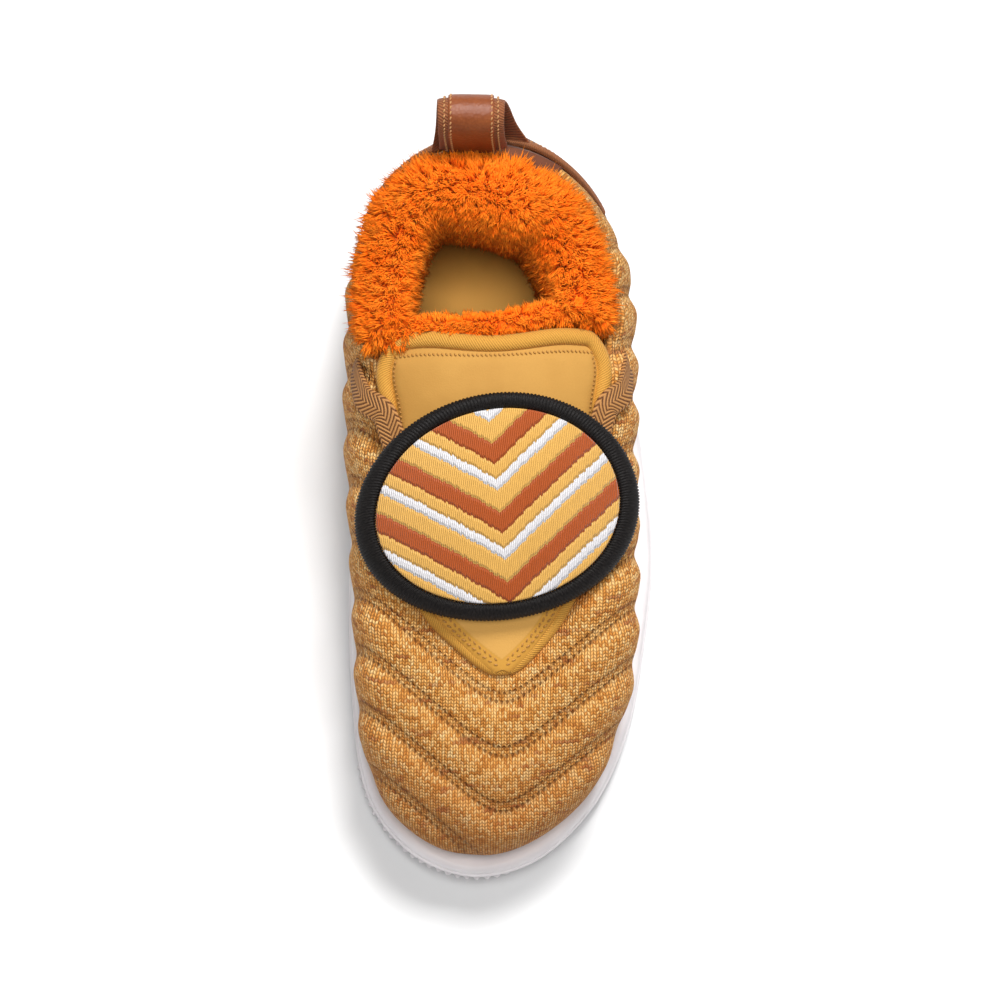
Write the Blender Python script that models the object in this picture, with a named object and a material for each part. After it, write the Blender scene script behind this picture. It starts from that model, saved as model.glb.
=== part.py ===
# Toddler slip-on knit sports shoe, left foot, built as separate pieces.
# Tables are in millimetres, meshes in metres. The toe points to -Y and the outer side of the foot to +X.

import math

import bmesh
import bpy
import numpy as np

MM = 0.001
GAP = 0.3                     # clearance between pieces that meet

# Sole
OUTSOLE_THICK = 3.4
HEEL_BACK = (-4.0, 82.0)      # x, y of the sole's rear end
TOE_TIP = (-5.0, -83.5)       # x, y of the sole's front end
TOE_SPRING = 6.2
TOE_SPRING_START = -60.0
ARCH_RISE = 2.2
ARCH_SPAN = (-20.0, 34.0)
HEEL_BEVEL = 2.6
HEEL_BEVEL_START = 71.0
TOE_RIB_PITCH = 1.9
TOE_RIB_DEPTH = 0.55
TOE_RIB_SPAN = (0.475, 0.61)  # part of the ring that carries ribs, 0.5 is the toe tip
GROOVE_WIDTH = 1.8
GROOVE_DEPTH = 1.3
FOREFOOT_GROOVES = (-62.0, -54.0, -46.0, -38.0, -30.0, -22.0)
HEEL_GROOVES = (40.0, 50.0, 60.0, 69.0)

# Upper
WALL = 2.2                    # thickness of the knit
BULGE_SHARE = 0.2             # share of the wall's rise that lies below its widest line
LOW_PULL = (0.25, 0.25, 0.35)  # how the lower arc leaves the sole, as shares of its reach in x, y and z
WIDE_PULL = 0.35              # how upright the lower arc meets the widest line
SIDE_PULL = 0.6               # how upright the upper arc leaves the widest line
EDGE_PULL = 0.52              # how flat the upper arc meets the opening's edge
VAMP_LEAN = 0.08              # how steep the wall is at the edge, at the toe
COLLAR_LEAN = 0.24            # what is added to that along the collar
RIDGE_PITCH = 11.2            # distance between knit ridges along the centre line
RIDGE_START = -1.5            # place along the foot from which the ridges are counted
RIDGE_HEIGHT = 1.0
RIDGE_SLOPE = 0.85            # how far a ridge runs back for each step sideways
RIDGE_ROUND = 4.5             # radius that blunts the point of each V
RIDGE_FADE = (0.45, 0.14, 0.04)  # stretch over which ridges fade at the sole, the opening and the heel

# Tongue, patch and straps
TONGUE_THICK = 2.4
TONGUE_EDGE = 0.8             # extra thickness of the rolled edge
TONGUE_OVERLAP = 2.6          # how far the tongue lies over the knit beside the throat
TONGUE_TIP_U = 0.004          # where along the opening the tongue starts, counted from the throat's tip
TONGUE_TOP_U = 0.293          # where along the opening the tongue ends
TONGUE_DIP = 1.8              # how far the middle of the top edge dips
PATCH_HALF_WIDTH = 25.4
PATCH_HALF_LENGTH = 18.9
PATCH_MIDDLE = (-2.2, -11.2)
PATCH_TURN = math.radians(8)
PATCH_BEND = 48.0             # radius to which the patch is bent across the instep
PATCH_THICK = 1.6
BORDER_WIDTH = 3.3
BORDER_HEIGHT = 2.8
PATCH_SAG = 0.6               # allowance for the border's lower half
STRAP_WIDTH = 6.0
STRAP_THICK = 1.1
STRAP_START = 0.82            # share of the tongue's length at which it comes over the edge
STRAP_END = (0.66, 0.86)      # share of the tongue's length, share of its half width

# Fur collar
FUR_LOCK = 3.4                # length of the longest lock
FUR_AROUND = 88
FUR_FRONT_SHARE = 0.12        # half of the roll's points that lie behind the tongue, as a share of all
FUR_FRONT_SIZE = 0.32         # size of the roll behind the tongue, 1 is its size at the collar
FUR_BEHIND_TONGUE = (0.0, 2.2, -2.8)
FUR_ROOT = 3.0                # part of the roll next to the collar, which keeps its width all round

# Heel
COUNTER_THICK = 1.2
COUNTER_GAP = 0.45
COUNTER_REACH = 0.085         # half length of the counter along the ring, 1 is the whole ring
COUNTER_CLEAR = 0.008         # plain knit beyond its ends
COUNTER_FOOT = 0.08           # where its lower edge runs, as a share of the upper's rise
COUNTER_TOP = (0.97, 0.30)    # where its upper edge runs at the heel's middle and at its ends
COUNTER_SWEEP = 1.3           # how the upper edge falls from the middle to the ends
LOOP_THICK = 1.6

# Plan of the sole: y, inner edge, outer edge
SOLE_PLAN = (
    (77.0, -15.5, 9.5),
    (69.0, -23.0, 18.6),
    (58.0, -26.8, 24.0),
    (44.0, -28.4, 27.0),
    (28.0, -29.6, 29.2),
    (12.0, -31.0, 31.6),
    (-4.0, -32.0, 33.6),
    (-18.0, -32.6, 33.9),
    (-32.0, -32.5, 32.3),
    (-46.0, -31.7, 30.0),
    (-58.0, -30.4, 26.2),
    (-68.0, -27.4, 20.8),
    (-76.0, -21.6, 13.6),
    (-81.0, -14.6, 6.2),
)

# Widest line of the upper: y, inner edge, outer edge
BULGE_PLAN = (
    (69.5, -14.0, 5.2),
    (63.0, -22.6, 13.8),
    (54.0, -29.4, 21.8),
    (42.0, -32.6, 26.2),
    (28.0, -33.3, 27.3),
    (12.0, -33.4, 27.6),
    (-4.0, -32.8, 27.8),
    (-20.0, -31.9, 28.2),
    (-34.0, -31.2, 28.2),
    (-46.0, -30.6, 26.9),
    (-57.0, -29.2, 23.2),
    (-66.0, -25.9, 18.8),
    (-72.4, -20.9, 13.0),
    (-77.3, -13.8, 4.8),
)
BULGE_HEEL = (-4.2, 73.0)
BULGE_TOE = (-5.4, -79.5)

# Edge of the collar and throat: y, middle, half width, height
OPENING_EDGE = (
    (59.5, -4.4, 14.5, 69.6),
    (51.5, -4.0, 21.6, 66.4),
    (40.0, -3.6, 24.8, 62.6),
    (28.0, -3.4, 25.2, 60.8),
    (19.0, -3.3, 23.9, 60.4),
    (7.0, -2.9, 21.0, 58.4),
    (-6.0, -2.5, 18.8, 54.8),
    (-18.0, -2.2, 16.6, 50.4),
    (-27.0, -2.1, 13.5, 46.4),
    (-33.5, -1.2, 7.8, 43.4),
)
COLLAR_BACK = (-4.5, 63.5, 71.0)
THROAT_TIP = (-0.3, -38.6, 41.4)

# Heights along the foot: y, top of the sole, widest line of the upper
HEIGHTS = (
    (-84.0, 15.2, 21.5),
    (-72.0, 13.4, 23.5),
    (-60.0, 12.4, 25.0),
    (-40.0, 12.0, 27.0),
    (-22.0, 12.6, 29.5),
    (-6.0, 14.0, 31.5),
    (12.0, 15.4, 33.0),
    (30.0, 16.6, 34.0),
    (50.0, 17.6, 34.5),
    (70.0, 18.6, 34.0),
    (83.0, 19.6, 33.5),
)

# Distance from the sole's edge in to the foot of the upper: place on the ring, inset
FOOT_INSET = (
    (0.00, 6.4),
    (0.10, 5.2),
    (0.20, 4.2),
    (0.32, 6.2),
    (0.40, 5.4),
    (0.50, 4.6),
    (0.60, 3.8),
    (0.72, 3.0),
    (0.90, 3.6),
    (1.00, 6.4),
)

# Side of the midsole from its foot to its rim: inset, share of the height
MIDSOLE_SIDE = (
    (1.6, 0.00),
    (0.5, 0.10),
    (0.0, 0.34),
    (0.2, 0.50),
    (1.0, 0.55),
    (0.5, 0.62),
    (0.9, 0.88),
    (2.0, 1.00),
)

# Side of the outsole from the floor up: inset, share of the height, share of the rib depth
OUTSOLE_SIDE = (
    (2.0, 0.00, 0.0),
    (0.7, 0.22, 1.0),
    (0.5, 0.75, 1.0),
    (1.0, 1.00, 0.0),
)

# Rise of the tongue over the chord between its edges: share of its length, crown, half width kept
TONGUE_ARCH = (
    (0.00, 0.5, 1.0),
    (0.20, 2.6, 1.0),
    (0.45, 5.0, 1.0),
    (0.68, 6.6, 0.97),
    (0.84, 7.8, 0.90),
    (0.95, 8.4, 0.85),
    (1.00, 8.6, 0.74),
)

# Section of the fur roll, from under its outer lip over the top to its inner foot: inward, up
FUR_SECTION = (
    (-1.0, 1.0),
    (-3.2, 2.4),
    (-3.0, 4.8),
    (-0.4, 6.6),
    (3.6, 7.2),
    (7.8, 5.8),
    (10.6, 2.2),
    (11.6, -2.6),
    (10.8, -7.6),
    (8.4, -11.4),
    (5.4, -11.8),
    (3.6, -7.0),
    (3.0, -1.2),
)

# Fur roll along the collar edge: place on the ring, how far it stands in, share of its full width
FUR_PLAN = (
    (0.00, 7.2, 0.86),
    (0.05, 7.0, 0.90),
    (0.11, 5.2, 0.85),
    (0.20, 4.8, 0.54),
    (0.80, 1.4, 0.32),
    (0.89, 2.4, 0.62),
    (0.95, 5.2, 0.90),
    (1.00, 7.2, 0.86),
)

# Pull loop from its rear foot to its front foot: y, z, middle x, half width, how far its edges bend forward
LOOP_PATH = (
    (66.6, 71.0, -6.0, 12.0, 4.0),
    (67.8, 76.0, -7.2, 9.4, 2.4),
    (68.6, 81.5, -8.2, 7.7, 1.0),
    (68.6, 86.0, -8.8, 7.1, 0.3),
    (67.2, 88.6, -9.0, 6.9, 0.0),
    (65.1, 88.2, -9.0, 6.8, 0.0),
    (63.7, 85.0, -8.8, 6.8, 0.0),
    (63.2, 80.5, -8.4, 6.9, 0.0),
    (62.9, 76.0, -8.0, 7.1, 0.0),
)

# Strap on the knit from its sewn end: share of the tongue's length, distance from its edge, rise off the knit
STRAP_ON_KNIT = (
    (1.02, 7.0, 1.0),
    (0.95, 4.4, 1.4),
    (0.88, 1.9, 3.2),
)

COLOURS = {
    "outsole": (0.84, 0.82, 0.83, 0.55),
    "midsole": (0.86, 0.84, 0.85, 0.5),
    "insole": (0.62, 0.42, 0.13, 0.9),
    "upper": (0.55, 0.29, 0.07, 0.9),
    "tongue": (0.74, 0.42, 0.09, 0.7),
    "fur_collar": (0.80, 0.19, 0.01, 0.95),
    "strap_inner": (0.26, 0.10, 0.04, 0.8),
    "strap_outer": (0.26, 0.10, 0.04, 0.8),
    "patch": (0.75, 0.42, 0.09, 0.6),
    "patch_border": (0.012, 0.012, 0.012, 0.6),
    "heel_counter": (0.15, 0.05, 0.03, 0.8),
    "pull_loop": (0.30, 0.10, 0.03, 0.55),
}


def smooth_column(table, column, at):
    """Natural cubic through one column of a table whose first column is the position."""
    rows = np.asarray(table, float)
    rows = rows[np.argsort(rows[:, 0])]
    place, value = rows[:, 0], rows[:, column]
    count = len(place)
    step = np.diff(place)
    matrix = np.eye(count)
    right = np.zeros(count)
    for i in range(1, count - 1):
        matrix[i, i - 1:i + 2] = step[i - 1], 2 * (step[i - 1] + step[i]), step[i]
        right[i] = 6 * ((value[i + 1] - value[i]) / step[i] - (value[i] - value[i - 1]) / step[i - 1])
    bend = np.linalg.solve(matrix, right)
    at = np.clip(np.asarray(at, float), place[0], place[-1])
    i = np.clip(np.searchsorted(place, at) - 1, 0, count - 2)
    a = (place[i + 1] - at) / step[i]
    b = 1 - a
    curve = ((a ** 3 - a) * bend[i] + (b ** 3 - b) * bend[i + 1]) * step[i] ** 2 / 6
    return a * value[i] + b * value[i + 1] + curve


class Ring:
    """Closed smooth curve round the foot. At 0 it is at the heel, at 0.5 at the toe, outer side first."""

    PER_SPAN = 24

    def __init__(self, points, toe_index):
        points = np.asarray(points, float)
        count = len(points)
        following = np.roll(points, -1, axis=0)
        span = np.sqrt(np.linalg.norm(following - points, axis=1))
        matrix = np.zeros((count, count))
        right = np.zeros_like(points)
        for i in range(count):
            before, after = span[i - 1], span[i]
            matrix[i, i - 1] = after
            matrix[i, i] = 2 * (before + after)
            matrix[i, (i + 1) % count] = before
            rise = after * (points[i] - points[i - 1]) / before
            right[i] = 3 * (rise + before * (following[i] - points[i]) / after)
        tangent = np.linalg.solve(matrix, right)
        t = np.linspace(0, 1, self.PER_SPAN, endpoint=False)[None, :, None]
        start, end = points[:, None], following[:, None]
        leave = (tangent * span[:, None])[:, None]
        arrive = (np.roll(tangent, -1, axis=0) * span[:, None])[:, None]
        dense = (2 * t ** 3 - 3 * t ** 2 + 1) * start + (t ** 3 - 2 * t ** 2 + t) * leave
        dense = dense + (3 * t ** 2 - 2 * t ** 3) * end + (t ** 3 - t ** 2) * arrive
        dense = dense.reshape(-1, points.shape[1])
        self.dense = np.vstack([dense, dense[:1]])
        length = np.linalg.norm(np.diff(self.dense, axis=0), axis=1)
        along = np.concatenate([[0], np.cumsum(length)])
        toe = along[toe_index * self.PER_SPAN]
        self.length = along[-1]
        self.place = np.where(along <= toe, 0.5 * along / toe, 0.5 + 0.5 * (along - toe) / (along[-1] - toe))

    def at(self, u):
        u = np.asarray(u, float) % 1.0
        return np.stack([np.interp(u, self.place, axis) for axis in self.dense.T], axis=-1)


def plan_ring(table, heel, toe):
    """Ring through the outer edges from heel to toe and back along the inner edges."""
    outer = [(row[2], row[0]) for row in table]
    inner = [(row[1], row[0]) for row in reversed(table)]
    return Ring([heel] + outer + [toe] + inner, len(table) + 1)


def opening_ring():
    outer = [(mid + half, y, z) for y, mid, half, z in OPENING_EDGE]
    inner = [(mid - half, y, z) for y, mid, half, z in reversed(OPENING_EDGE)]
    return Ring([COLLAR_BACK] + outer + [THROAT_TIP] + inner, len(OPENING_EDGE) + 1)


SOLE_RING = plan_ring(SOLE_PLAN, HEEL_BACK, TOE_TIP)
BULGE_RING = plan_ring(BULGE_PLAN, BULGE_HEEL, BULGE_TOE)
OPENING_RING = opening_ring()


def underside(y):
    """Height of the tread over the floor: flat at heel and forefoot, raised at the toe, arch and heel end."""
    y = np.asarray(y, float)
    toe = np.clip((TOE_SPRING_START - y) / (TOE_SPRING_START - TOE_TIP[1]), 0, 1) ** 1.6
    arch = np.sin(math.pi * np.clip((y - ARCH_SPAN[0]) / (ARCH_SPAN[1] - ARCH_SPAN[0]), 0, 1)) ** 2
    heel = np.clip((y - HEEL_BEVEL_START) / (HEEL_BACK[1] - HEEL_BEVEL_START), 0, 1) ** 1.6
    return TOE_SPRING * toe + ARCH_RISE * arch + HEEL_BEVEL * heel


def sole_top(y):
    return smooth_column(HEIGHTS, 1, y)


def bulge_height(y):
    return smooth_column(HEIGHTS, 2, y)


def sole_plan(u, inset):
    """Point on the sole's outline, moved in from its edge by the inset."""
    nudge = 0.002
    place = SOLE_RING.at(u)
    run = SOLE_RING.at(u + nudge) - SOLE_RING.at(u - nudge)
    run = run / np.linalg.norm(run, axis=-1, keepdims=True)
    inward = np.stack([run[..., 1], -run[..., 0]], axis=-1)
    return place + inward * np.asarray(inset)[..., None]


def foot_line(u):
    """Lower edge of the upper, just above the sole."""
    plan = sole_plan(u, smooth_column(FOOT_INSET, 1, np.asarray(u) % 1.0))
    return np.concatenate([plan, (sole_top(plan[..., 1]) + GAP)[..., None]], axis=-1)


def bezier(points, t):
    a, b, c, d = points
    t = t[..., None]
    return (1 - t) ** 3 * a + 3 * t * (1 - t) ** 2 * b + 3 * t ** 2 * (1 - t) * c + t ** 3 * d


def upper_form(u, v):
    """Outer face of the upper without its ridges: u runs round the foot, v from the sole to the opening."""
    u, v = np.broadcast_arrays(np.asarray(u, float), np.asarray(v, float))
    foot = foot_line(u)
    plan = BULGE_RING.at(u)
    wide = np.concatenate([plan, bulge_height(plan[..., 1])[..., None]], axis=-1)
    edge = OPENING_RING.at(u)
    low_rise = wide - foot
    low = bezier((foot, foot + low_rise * LOW_PULL, wide - low_rise * (0.0, 0.0, WIDE_PULL), wide),
                 np.clip(v / BULGE_SHARE, 0, 1))
    rise = edge - wide
    collar = np.clip(2.2 * np.abs(u - 0.5) - 0.2, 0, 1)
    lean = VAMP_LEAN + COLLAR_LEAN * collar * collar * (3 - 2 * collar)
    flat = np.full_like(u, EDGE_PULL)
    towards = rise * np.stack([flat, flat, lean], axis=-1)
    high = bezier((wide, wide + rise * (0.0, 0.0, SIDE_PULL), edge - towards, edge),
                  np.clip((v - BULGE_SHARE) / (1 - BULGE_SHARE), 0, 1))
    return np.where((v < BULGE_SHARE)[..., None], low, high)


def upper_normal(u, v):
    nudge = 0.004
    along = upper_form(u + nudge, v) - upper_form(u - nudge, v)
    v_low, v_high = np.clip(v - nudge, 0, 1), np.clip(v + nudge, 0, 1)
    up = upper_form(u, v_high) - upper_form(u, v_low)
    normal = np.cross(up, along)
    return normal / np.linalg.norm(normal, axis=-1, keepdims=True)


def off_upper(u, v, distance):
    """Point at a distance outside the upper's own form."""
    return upper_form(u, v) + upper_normal(u, v) * np.asarray(distance)[..., None]


def opening_span(u):
    """Millimetres along the upper for each step of v, close to the opening."""
    return np.linalg.norm(upper_form(u, np.ones_like(u)) - upper_form(u, np.full_like(u, 0.9)), axis=-1) / 0.1


def ridge(u, v):
    """Height of the knit's V-shaped ridges, fading out at the sole, the throat and the heel."""
    place = upper_form(u, v)
    side = place[..., 0] - THROAT_TIP[0]
    back = RIDGE_START + RIDGE_SLOPE * np.sqrt(side ** 2 + RIDGE_ROUND ** 2)
    phase = (place[..., 1] - back) / RIDGE_PITCH
    wave = (0.5 + 0.5 * np.cos(2 * math.pi * phase)) ** 0.8
    at_sole, at_opening, at_heel = RIDGE_FADE
    fade = np.clip(v / at_sole, 0, 1) * np.clip((1 - v) / at_opening, 0, 1)
    heel = np.clip((np.minimum(u % 1, 1 - u % 1) - COUNTER_REACH - COUNTER_CLEAR) / at_heel, 0, 1)
    return RIDGE_HEIGHT * wave * fade * heel


def new_object(name, collection, vertices, faces, smooth_angle=40):
    """Object from vertices in millimetres, with its own material."""
    mesh = bpy.data.meshes.new(name)
    corners = [tuple(int(i) for i in face) for face in faces]
    mesh.from_pydata((np.asarray(vertices, float) * MM).tolist(), [], corners)
    mesh.validate()
    work = bmesh.new()
    work.from_mesh(mesh)
    bmesh.ops.recalc_face_normals(work, faces=work.faces)
    work.to_mesh(mesh)
    work.free()
    mesh.shade_smooth()
    mesh.set_sharp_from_angle(angle=math.radians(smooth_angle))
    item = bpy.data.objects.new(name, mesh)
    collection.objects.link(item)
    if name in COLOURS:
        mesh.materials.append(plain_material(name, COLOURS[name]))
    return item


def plain_material(name, colour):
    material = bpy.data.materials.new(name)
    material.use_nodes = True
    shader = material.node_tree.nodes["Principled BSDF"]
    shader.inputs["Base Color"].default_value = (*colour[:3], 1)
    shader.inputs["Roughness"].default_value = colour[3]
    shader.inputs["Metallic"].default_value = 0.0
    return material


def ring_faces(rows, around, first=0):
    """Quads between stacked rings of equal count."""
    faces = []
    for row in range(rows - 1):
        for i in range(around):
            j = (i + 1) % around
            low, high = first + row * around, first + (row + 1) * around
            faces.append((low + i, low + j, high + j, high + i))
    return faces


def strip_cap(first, around):
    """Lid across a ring: each point on the outer side is joined to the one opposite on the inner side."""
    half = around // 2
    faces = [(first, first + 1, first + around - 1)]
    for i in range(1, half - 1):
        faces.append((first + i, first + i + 1, first + around - i - 1, first + around - i))
    faces.append((first + half - 1, first + half, first + half + 1))
    return faces


def stacked_solid(name, collection, rings):
    """Closed solid from rings of equal count, lowest first, with a lid at each end."""
    around = len(rings[0])
    faces = ring_faces(len(rings), around)
    faces += strip_cap(0, around) + strip_cap((len(rings) - 1) * around, around)
    return new_object(name, collection, np.vstack(rings), faces)


def grid_solid(name, collection, outer, inner):
    """Closed sheet between two grids of equal size."""
    rows, columns = outer.shape[:2]
    index = np.arange(rows * columns).reshape(rows, columns)
    back = index + rows * columns
    faces = []
    for i in range(rows - 1):
        for j in range(columns - 1):
            faces.append((index[i, j], index[i, j + 1], index[i + 1, j + 1], index[i + 1, j]))
            faces.append((back[i, j], back[i + 1, j], back[i + 1, j + 1], back[i, j + 1]))
    rim = list(index[0, :-1]) + list(index[:-1, -1]) + list(index[-1, :0:-1]) + list(index[:0:-1, 0])
    for a, b in zip(rim, rim[1:] + rim[:1]):
        faces.append((a, b, b + rows * columns, a + rows * columns))
    vertices = np.vstack([outer.reshape(-1, 3), inner.reshape(-1, 3)])
    return new_object(name, collection, vertices, faces)


def toe_ribs(u):
    """Small teeth round the toe edge of the outsole."""
    start, end = TOE_RIB_SPAN
    fade = np.clip((u - start) / 0.01, 0, 1) * np.clip((end - u) / 0.01, 0, 1)
    return TOE_RIB_DEPTH * fade * (0.5 - 0.5 * np.cos(2 * math.pi * u * SOLE_RING.length / TOE_RIB_PITCH))


def outsole_places():
    """Places on the ring, closer together along the ribs."""
    start, end = TOE_RIB_SPAN
    ribbed = np.arange(start, end, TOE_RIB_PITCH / 3 / SOLE_RING.length)
    plain = np.linspace(0, start, 42, endpoint=False)
    rest = np.linspace(end, 1, 34, endpoint=False)
    places = np.concatenate([plain, ribbed, rest])
    return places if len(places) % 2 == 0 else np.append(places, 1 - 0.5 * (1 - rest[-1]))


def make_outsole(parts, cutters):
    u = outsole_places()
    rings = []
    for inset, share, rib in OUTSOLE_SIDE:
        plan = sole_plan(u, inset - rib * toe_ribs(u))
        low = underside(plan[:, 1])
        rings.append(np.column_stack([plan, low + share * OUTSOLE_THICK]))
    outsole = stacked_outsole(parts, rings)
    grooves = bmesh.new()
    for y in FOREFOOT_GROOVES + HEEL_GROOVES:
        made = bmesh.ops.create_cube(grooves, size=1.0)["verts"]
        bmesh.ops.scale(grooves, verts=made, vec=(0.09, GROOVE_WIDTH * MM, 2 * GROOVE_DEPTH * MM))
        bmesh.ops.translate(grooves, verts=made, vec=(0, y * MM, float(underside(y)) * MM))
    mesh = bpy.data.meshes.new("tread_grooves")
    grooves.to_mesh(mesh)
    grooves.free()
    cutter = bpy.data.objects.new("tread_grooves", mesh)
    cutter.hide_render = True
    cutter.display_type = "WIRE"
    cutters.objects.link(cutter)
    cut = outsole.modifiers.new("tread", "BOOLEAN")
    cut.operation = "DIFFERENCE"
    cut.object = cutter
    return outsole


def stacked_outsole(parts, rings):
    """Outsole whose lids run straight across the foot, so heel and forefoot stay flat."""
    around = len(rings[0])
    toe = int(np.argmin(rings[0][:, 1]))
    faces = ring_faces(len(rings), around)
    for first in (0, (len(rings) - 1) * around):
        level = rings[0 if first == 0 else -1]
        faces += across_lid(level, toe, first)
    return new_object("outsole", parts, np.vstack(rings), faces)


def across_lid(level, toe, first):
    """Triangles between the outer and inner side of a ring, advancing on whichever side is further back."""
    around = len(level)
    outer, inner = 0, around
    faces = []
    while outer < toe or inner > toe:
        step_outer = inner <= toe
        if outer < toe and inner > toe:
            step_outer = level[outer + 1][1] >= level[inner - 1][1]
        if step_outer:
            faces.append((first + outer, first + outer + 1, first + inner % around))
            outer += 1
        else:
            faces.append((first + outer, first + inner - 1, first + inner % around))
            inner -= 1
    return [face for face in faces if len(set(face)) == 3]


def make_midsole(parts):
    u = np.arange(96) / 96
    rings = []
    for inset, share in MIDSOLE_SIDE:
        plan = sole_plan(u, inset)
        low = underside(plan[:, 1]) + OUTSOLE_THICK + GAP
        rings.append(np.column_stack([plan, low + share * (sole_top(plan[:, 1]) - low)]))
    return stacked_solid("midsole", parts, rings)


def make_insole(parts):
    u = np.arange(56) / 56
    foot = smooth_column(FOOT_INSET, 1, u) + WALL + 1.2
    rings = []
    for inset, rise in ((0.6, GAP), (0.0, 1.2), (0.3, 2.6), (1.2, 3.2)):
        plan = sole_plan(u, foot + inset)
        rings.append(np.column_stack([plan, sole_top(plan[:, 1]) + rise]))
    return stacked_solid("insole", parts, rings)


def make_upper(parts):
    """Hollow knit shell: a ridged outer face, a plain inner face and a rim at the sole and at the opening."""
    around, inside = 124, 62
    rises = np.array([0.0, 0.1, 0.2, 0.29, 0.38, 0.47, 0.57, 0.68, 0.8, 0.9, 1.0])
    inner_rises = rises[::2]
    u = (np.arange(around) / around)[None, :]
    v = rises[:, None]
    outer = off_upper(u + 0 * v, v + 0 * u, ridge(u + 0 * v, v + 0 * u)).reshape(-1, 3)
    u = (np.arange(inside) / inside)[None, :]
    v = inner_rises[:, None]
    inner = off_upper(u + 0 * v, v + 0 * u, np.full((len(inner_rises), inside), -WALL))
    inner[0, :, 2] = sole_top(inner[0, :, 1]) + GAP
    inner = inner.reshape(-1, 3)
    first = len(outer)
    faces = ring_faces(len(rises), around) + ring_faces(len(inner_rises), inside, first)
    for level, back in ((0, first), ((len(rises) - 1) * around, first + (len(inner_rises) - 1) * inside)):
        for i in range(inside):
            j = (i + 1) % inside
            a, b, c = level + 2 * i, level + 2 * i + 1, level + (2 * i + 2) % around
            faces += [(a, b, back + i), (b, back + j, back + i), (b, c, back + j)]
    return new_object("upper", parts, np.vstack([outer, inner]), faces)


def tongue_reach(t):
    """Distance along the opening from the throat's tip to the tongue's edge."""
    return TONGUE_TIP_U + (TONGUE_TOP_U - TONGUE_TIP_U) * t


def tongue_form(t, s):
    """Face of the tongue that rests on the upper: t from the throat's tip to its top, s across, -1 to 1."""
    t, s = np.broadcast_arrays(np.asarray(t, float), np.asarray(s, float))
    reach = tongue_reach(t)
    edges = []
    for side in (1, -1):
        u = 0.5 + side * reach
        v = 1 - TONGUE_OVERLAP / opening_span(u)
        edges.append(off_upper(u, v, np.full_like(u, GAP)))
    inner, outer = edges
    keep = smooth_column(TONGUE_ARCH, 2, t)
    across = 0.5 + 0.5 * s * keep
    chord = inner + (outer - inner) * across[..., None]
    crown = smooth_column(TONGUE_ARCH, 1, t) * (1 - (s * keep) ** 2)
    dip = TONGUE_DIP * np.clip((t - 0.8) / 0.2, 0, 1) ** 2 * np.clip(1 - 1.6 * np.abs(s), 0, 1) ** 2
    chord[..., 2] += crown
    chord[..., 1] -= dip
    return chord


def tongue_normal(t, s):
    nudge = 0.01
    along = tongue_form(np.clip(t + nudge, 0, 1), s) - tongue_form(np.clip(t - nudge, 0, 1), s)
    across = tongue_form(t, s + nudge) - tongue_form(t, s - nudge)
    normal = np.cross(across, along)
    return normal / np.linalg.norm(normal, axis=-1, keepdims=True)


def off_tongue(t, s, distance):
    t, s = np.broadcast_arrays(np.asarray(t, float), np.asarray(s, float))
    return tongue_form(t, s) + tongue_normal(t, s) * np.broadcast_to(distance, t.shape)[..., None]


def make_tongue(parts):
    t = np.concatenate([np.linspace(0, 0.88, 13), [0.93, 0.965, 1.0]])[:, None]
    s = np.array([-1, -0.93, -0.78, -0.52, -0.26, 0, 0.26, 0.52, 0.78, 0.93, 1])[None, :]
    rolled = np.maximum(np.abs(s) > 0.9, np.abs(t - 1) < 0.04)
    outer = off_tongue(t, s, TONGUE_THICK + TONGUE_EDGE * rolled)
    return grid_solid("tongue", parts, outer, off_tongue(t, s, 0.0))


def patch_sheet():
    """Terms of a gentle curve along the instep, fitted to tongue and straps and lifted to clear them."""
    t = np.linspace(0.06, 0.95, 46)[:, None]
    s = np.linspace(-0.98, 0.98, 41)[None, :]
    strapped = (t > STRAP_END[0] - 0.06) & (np.abs(s) > STRAP_END[1] - 0.16)
    stack = TONGUE_THICK + GAP + (STRAP_THICK + 1.5 * GAP) * strapped + TONGUE_EDGE * (np.abs(s) > 0.75)
    over = off_tongue(t, s, stack)
    x, y = over[..., 0] - PATCH_MIDDLE[0], over[..., 1] - PATCH_MIDDLE[1]
    reach = (x / (PATCH_HALF_WIDTH + BORDER_WIDTH)) ** 2 + (y / (PATCH_HALF_LENGTH + BORDER_WIDTH)) ** 2
    covered = reach < 1.05
    x, y, bent = x[covered], y[covered], (over[..., 2] + x ** 2 / (2 * PATCH_BEND))[covered]
    terms = np.stack([np.ones_like(y), y, y ** 2], axis=-1)
    fitted = np.linalg.lstsq(terms, bent, rcond=None)[0]
    level, slope, bow = fitted
    return level + np.max(bent - terms @ fitted) + PATCH_SAG, slope, bow


def patch_height(x, y):
    """Underside of the patch: it follows the instep and is bent down at both sides."""
    level, slope, bow = PATCH_SHEET
    along = y - PATCH_MIDDLE[1]
    return level + slope * along + bow * along ** 2 - (x - PATCH_MIDDLE[0]) ** 2 / (2 * PATCH_BEND)


PATCH_SHEET = patch_sheet()


def patch_point(angle, share, rise):
    """Point on the oval: share 1 is the patch's own edge, larger shares reach into its border."""
    x = PATCH_HALF_WIDTH * share * np.cos(angle)
    y = PATCH_HALF_LENGTH * share * np.sin(angle)
    turn_x = x * math.cos(PATCH_TURN) - y * math.sin(PATCH_TURN) + PATCH_MIDDLE[0]
    turn_y = x * math.sin(PATCH_TURN) + y * math.cos(PATCH_TURN) + PATCH_MIDDLE[1]
    return np.stack([turn_x, turn_y, patch_height(turn_x, turn_y) + rise], axis=-1)


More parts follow.
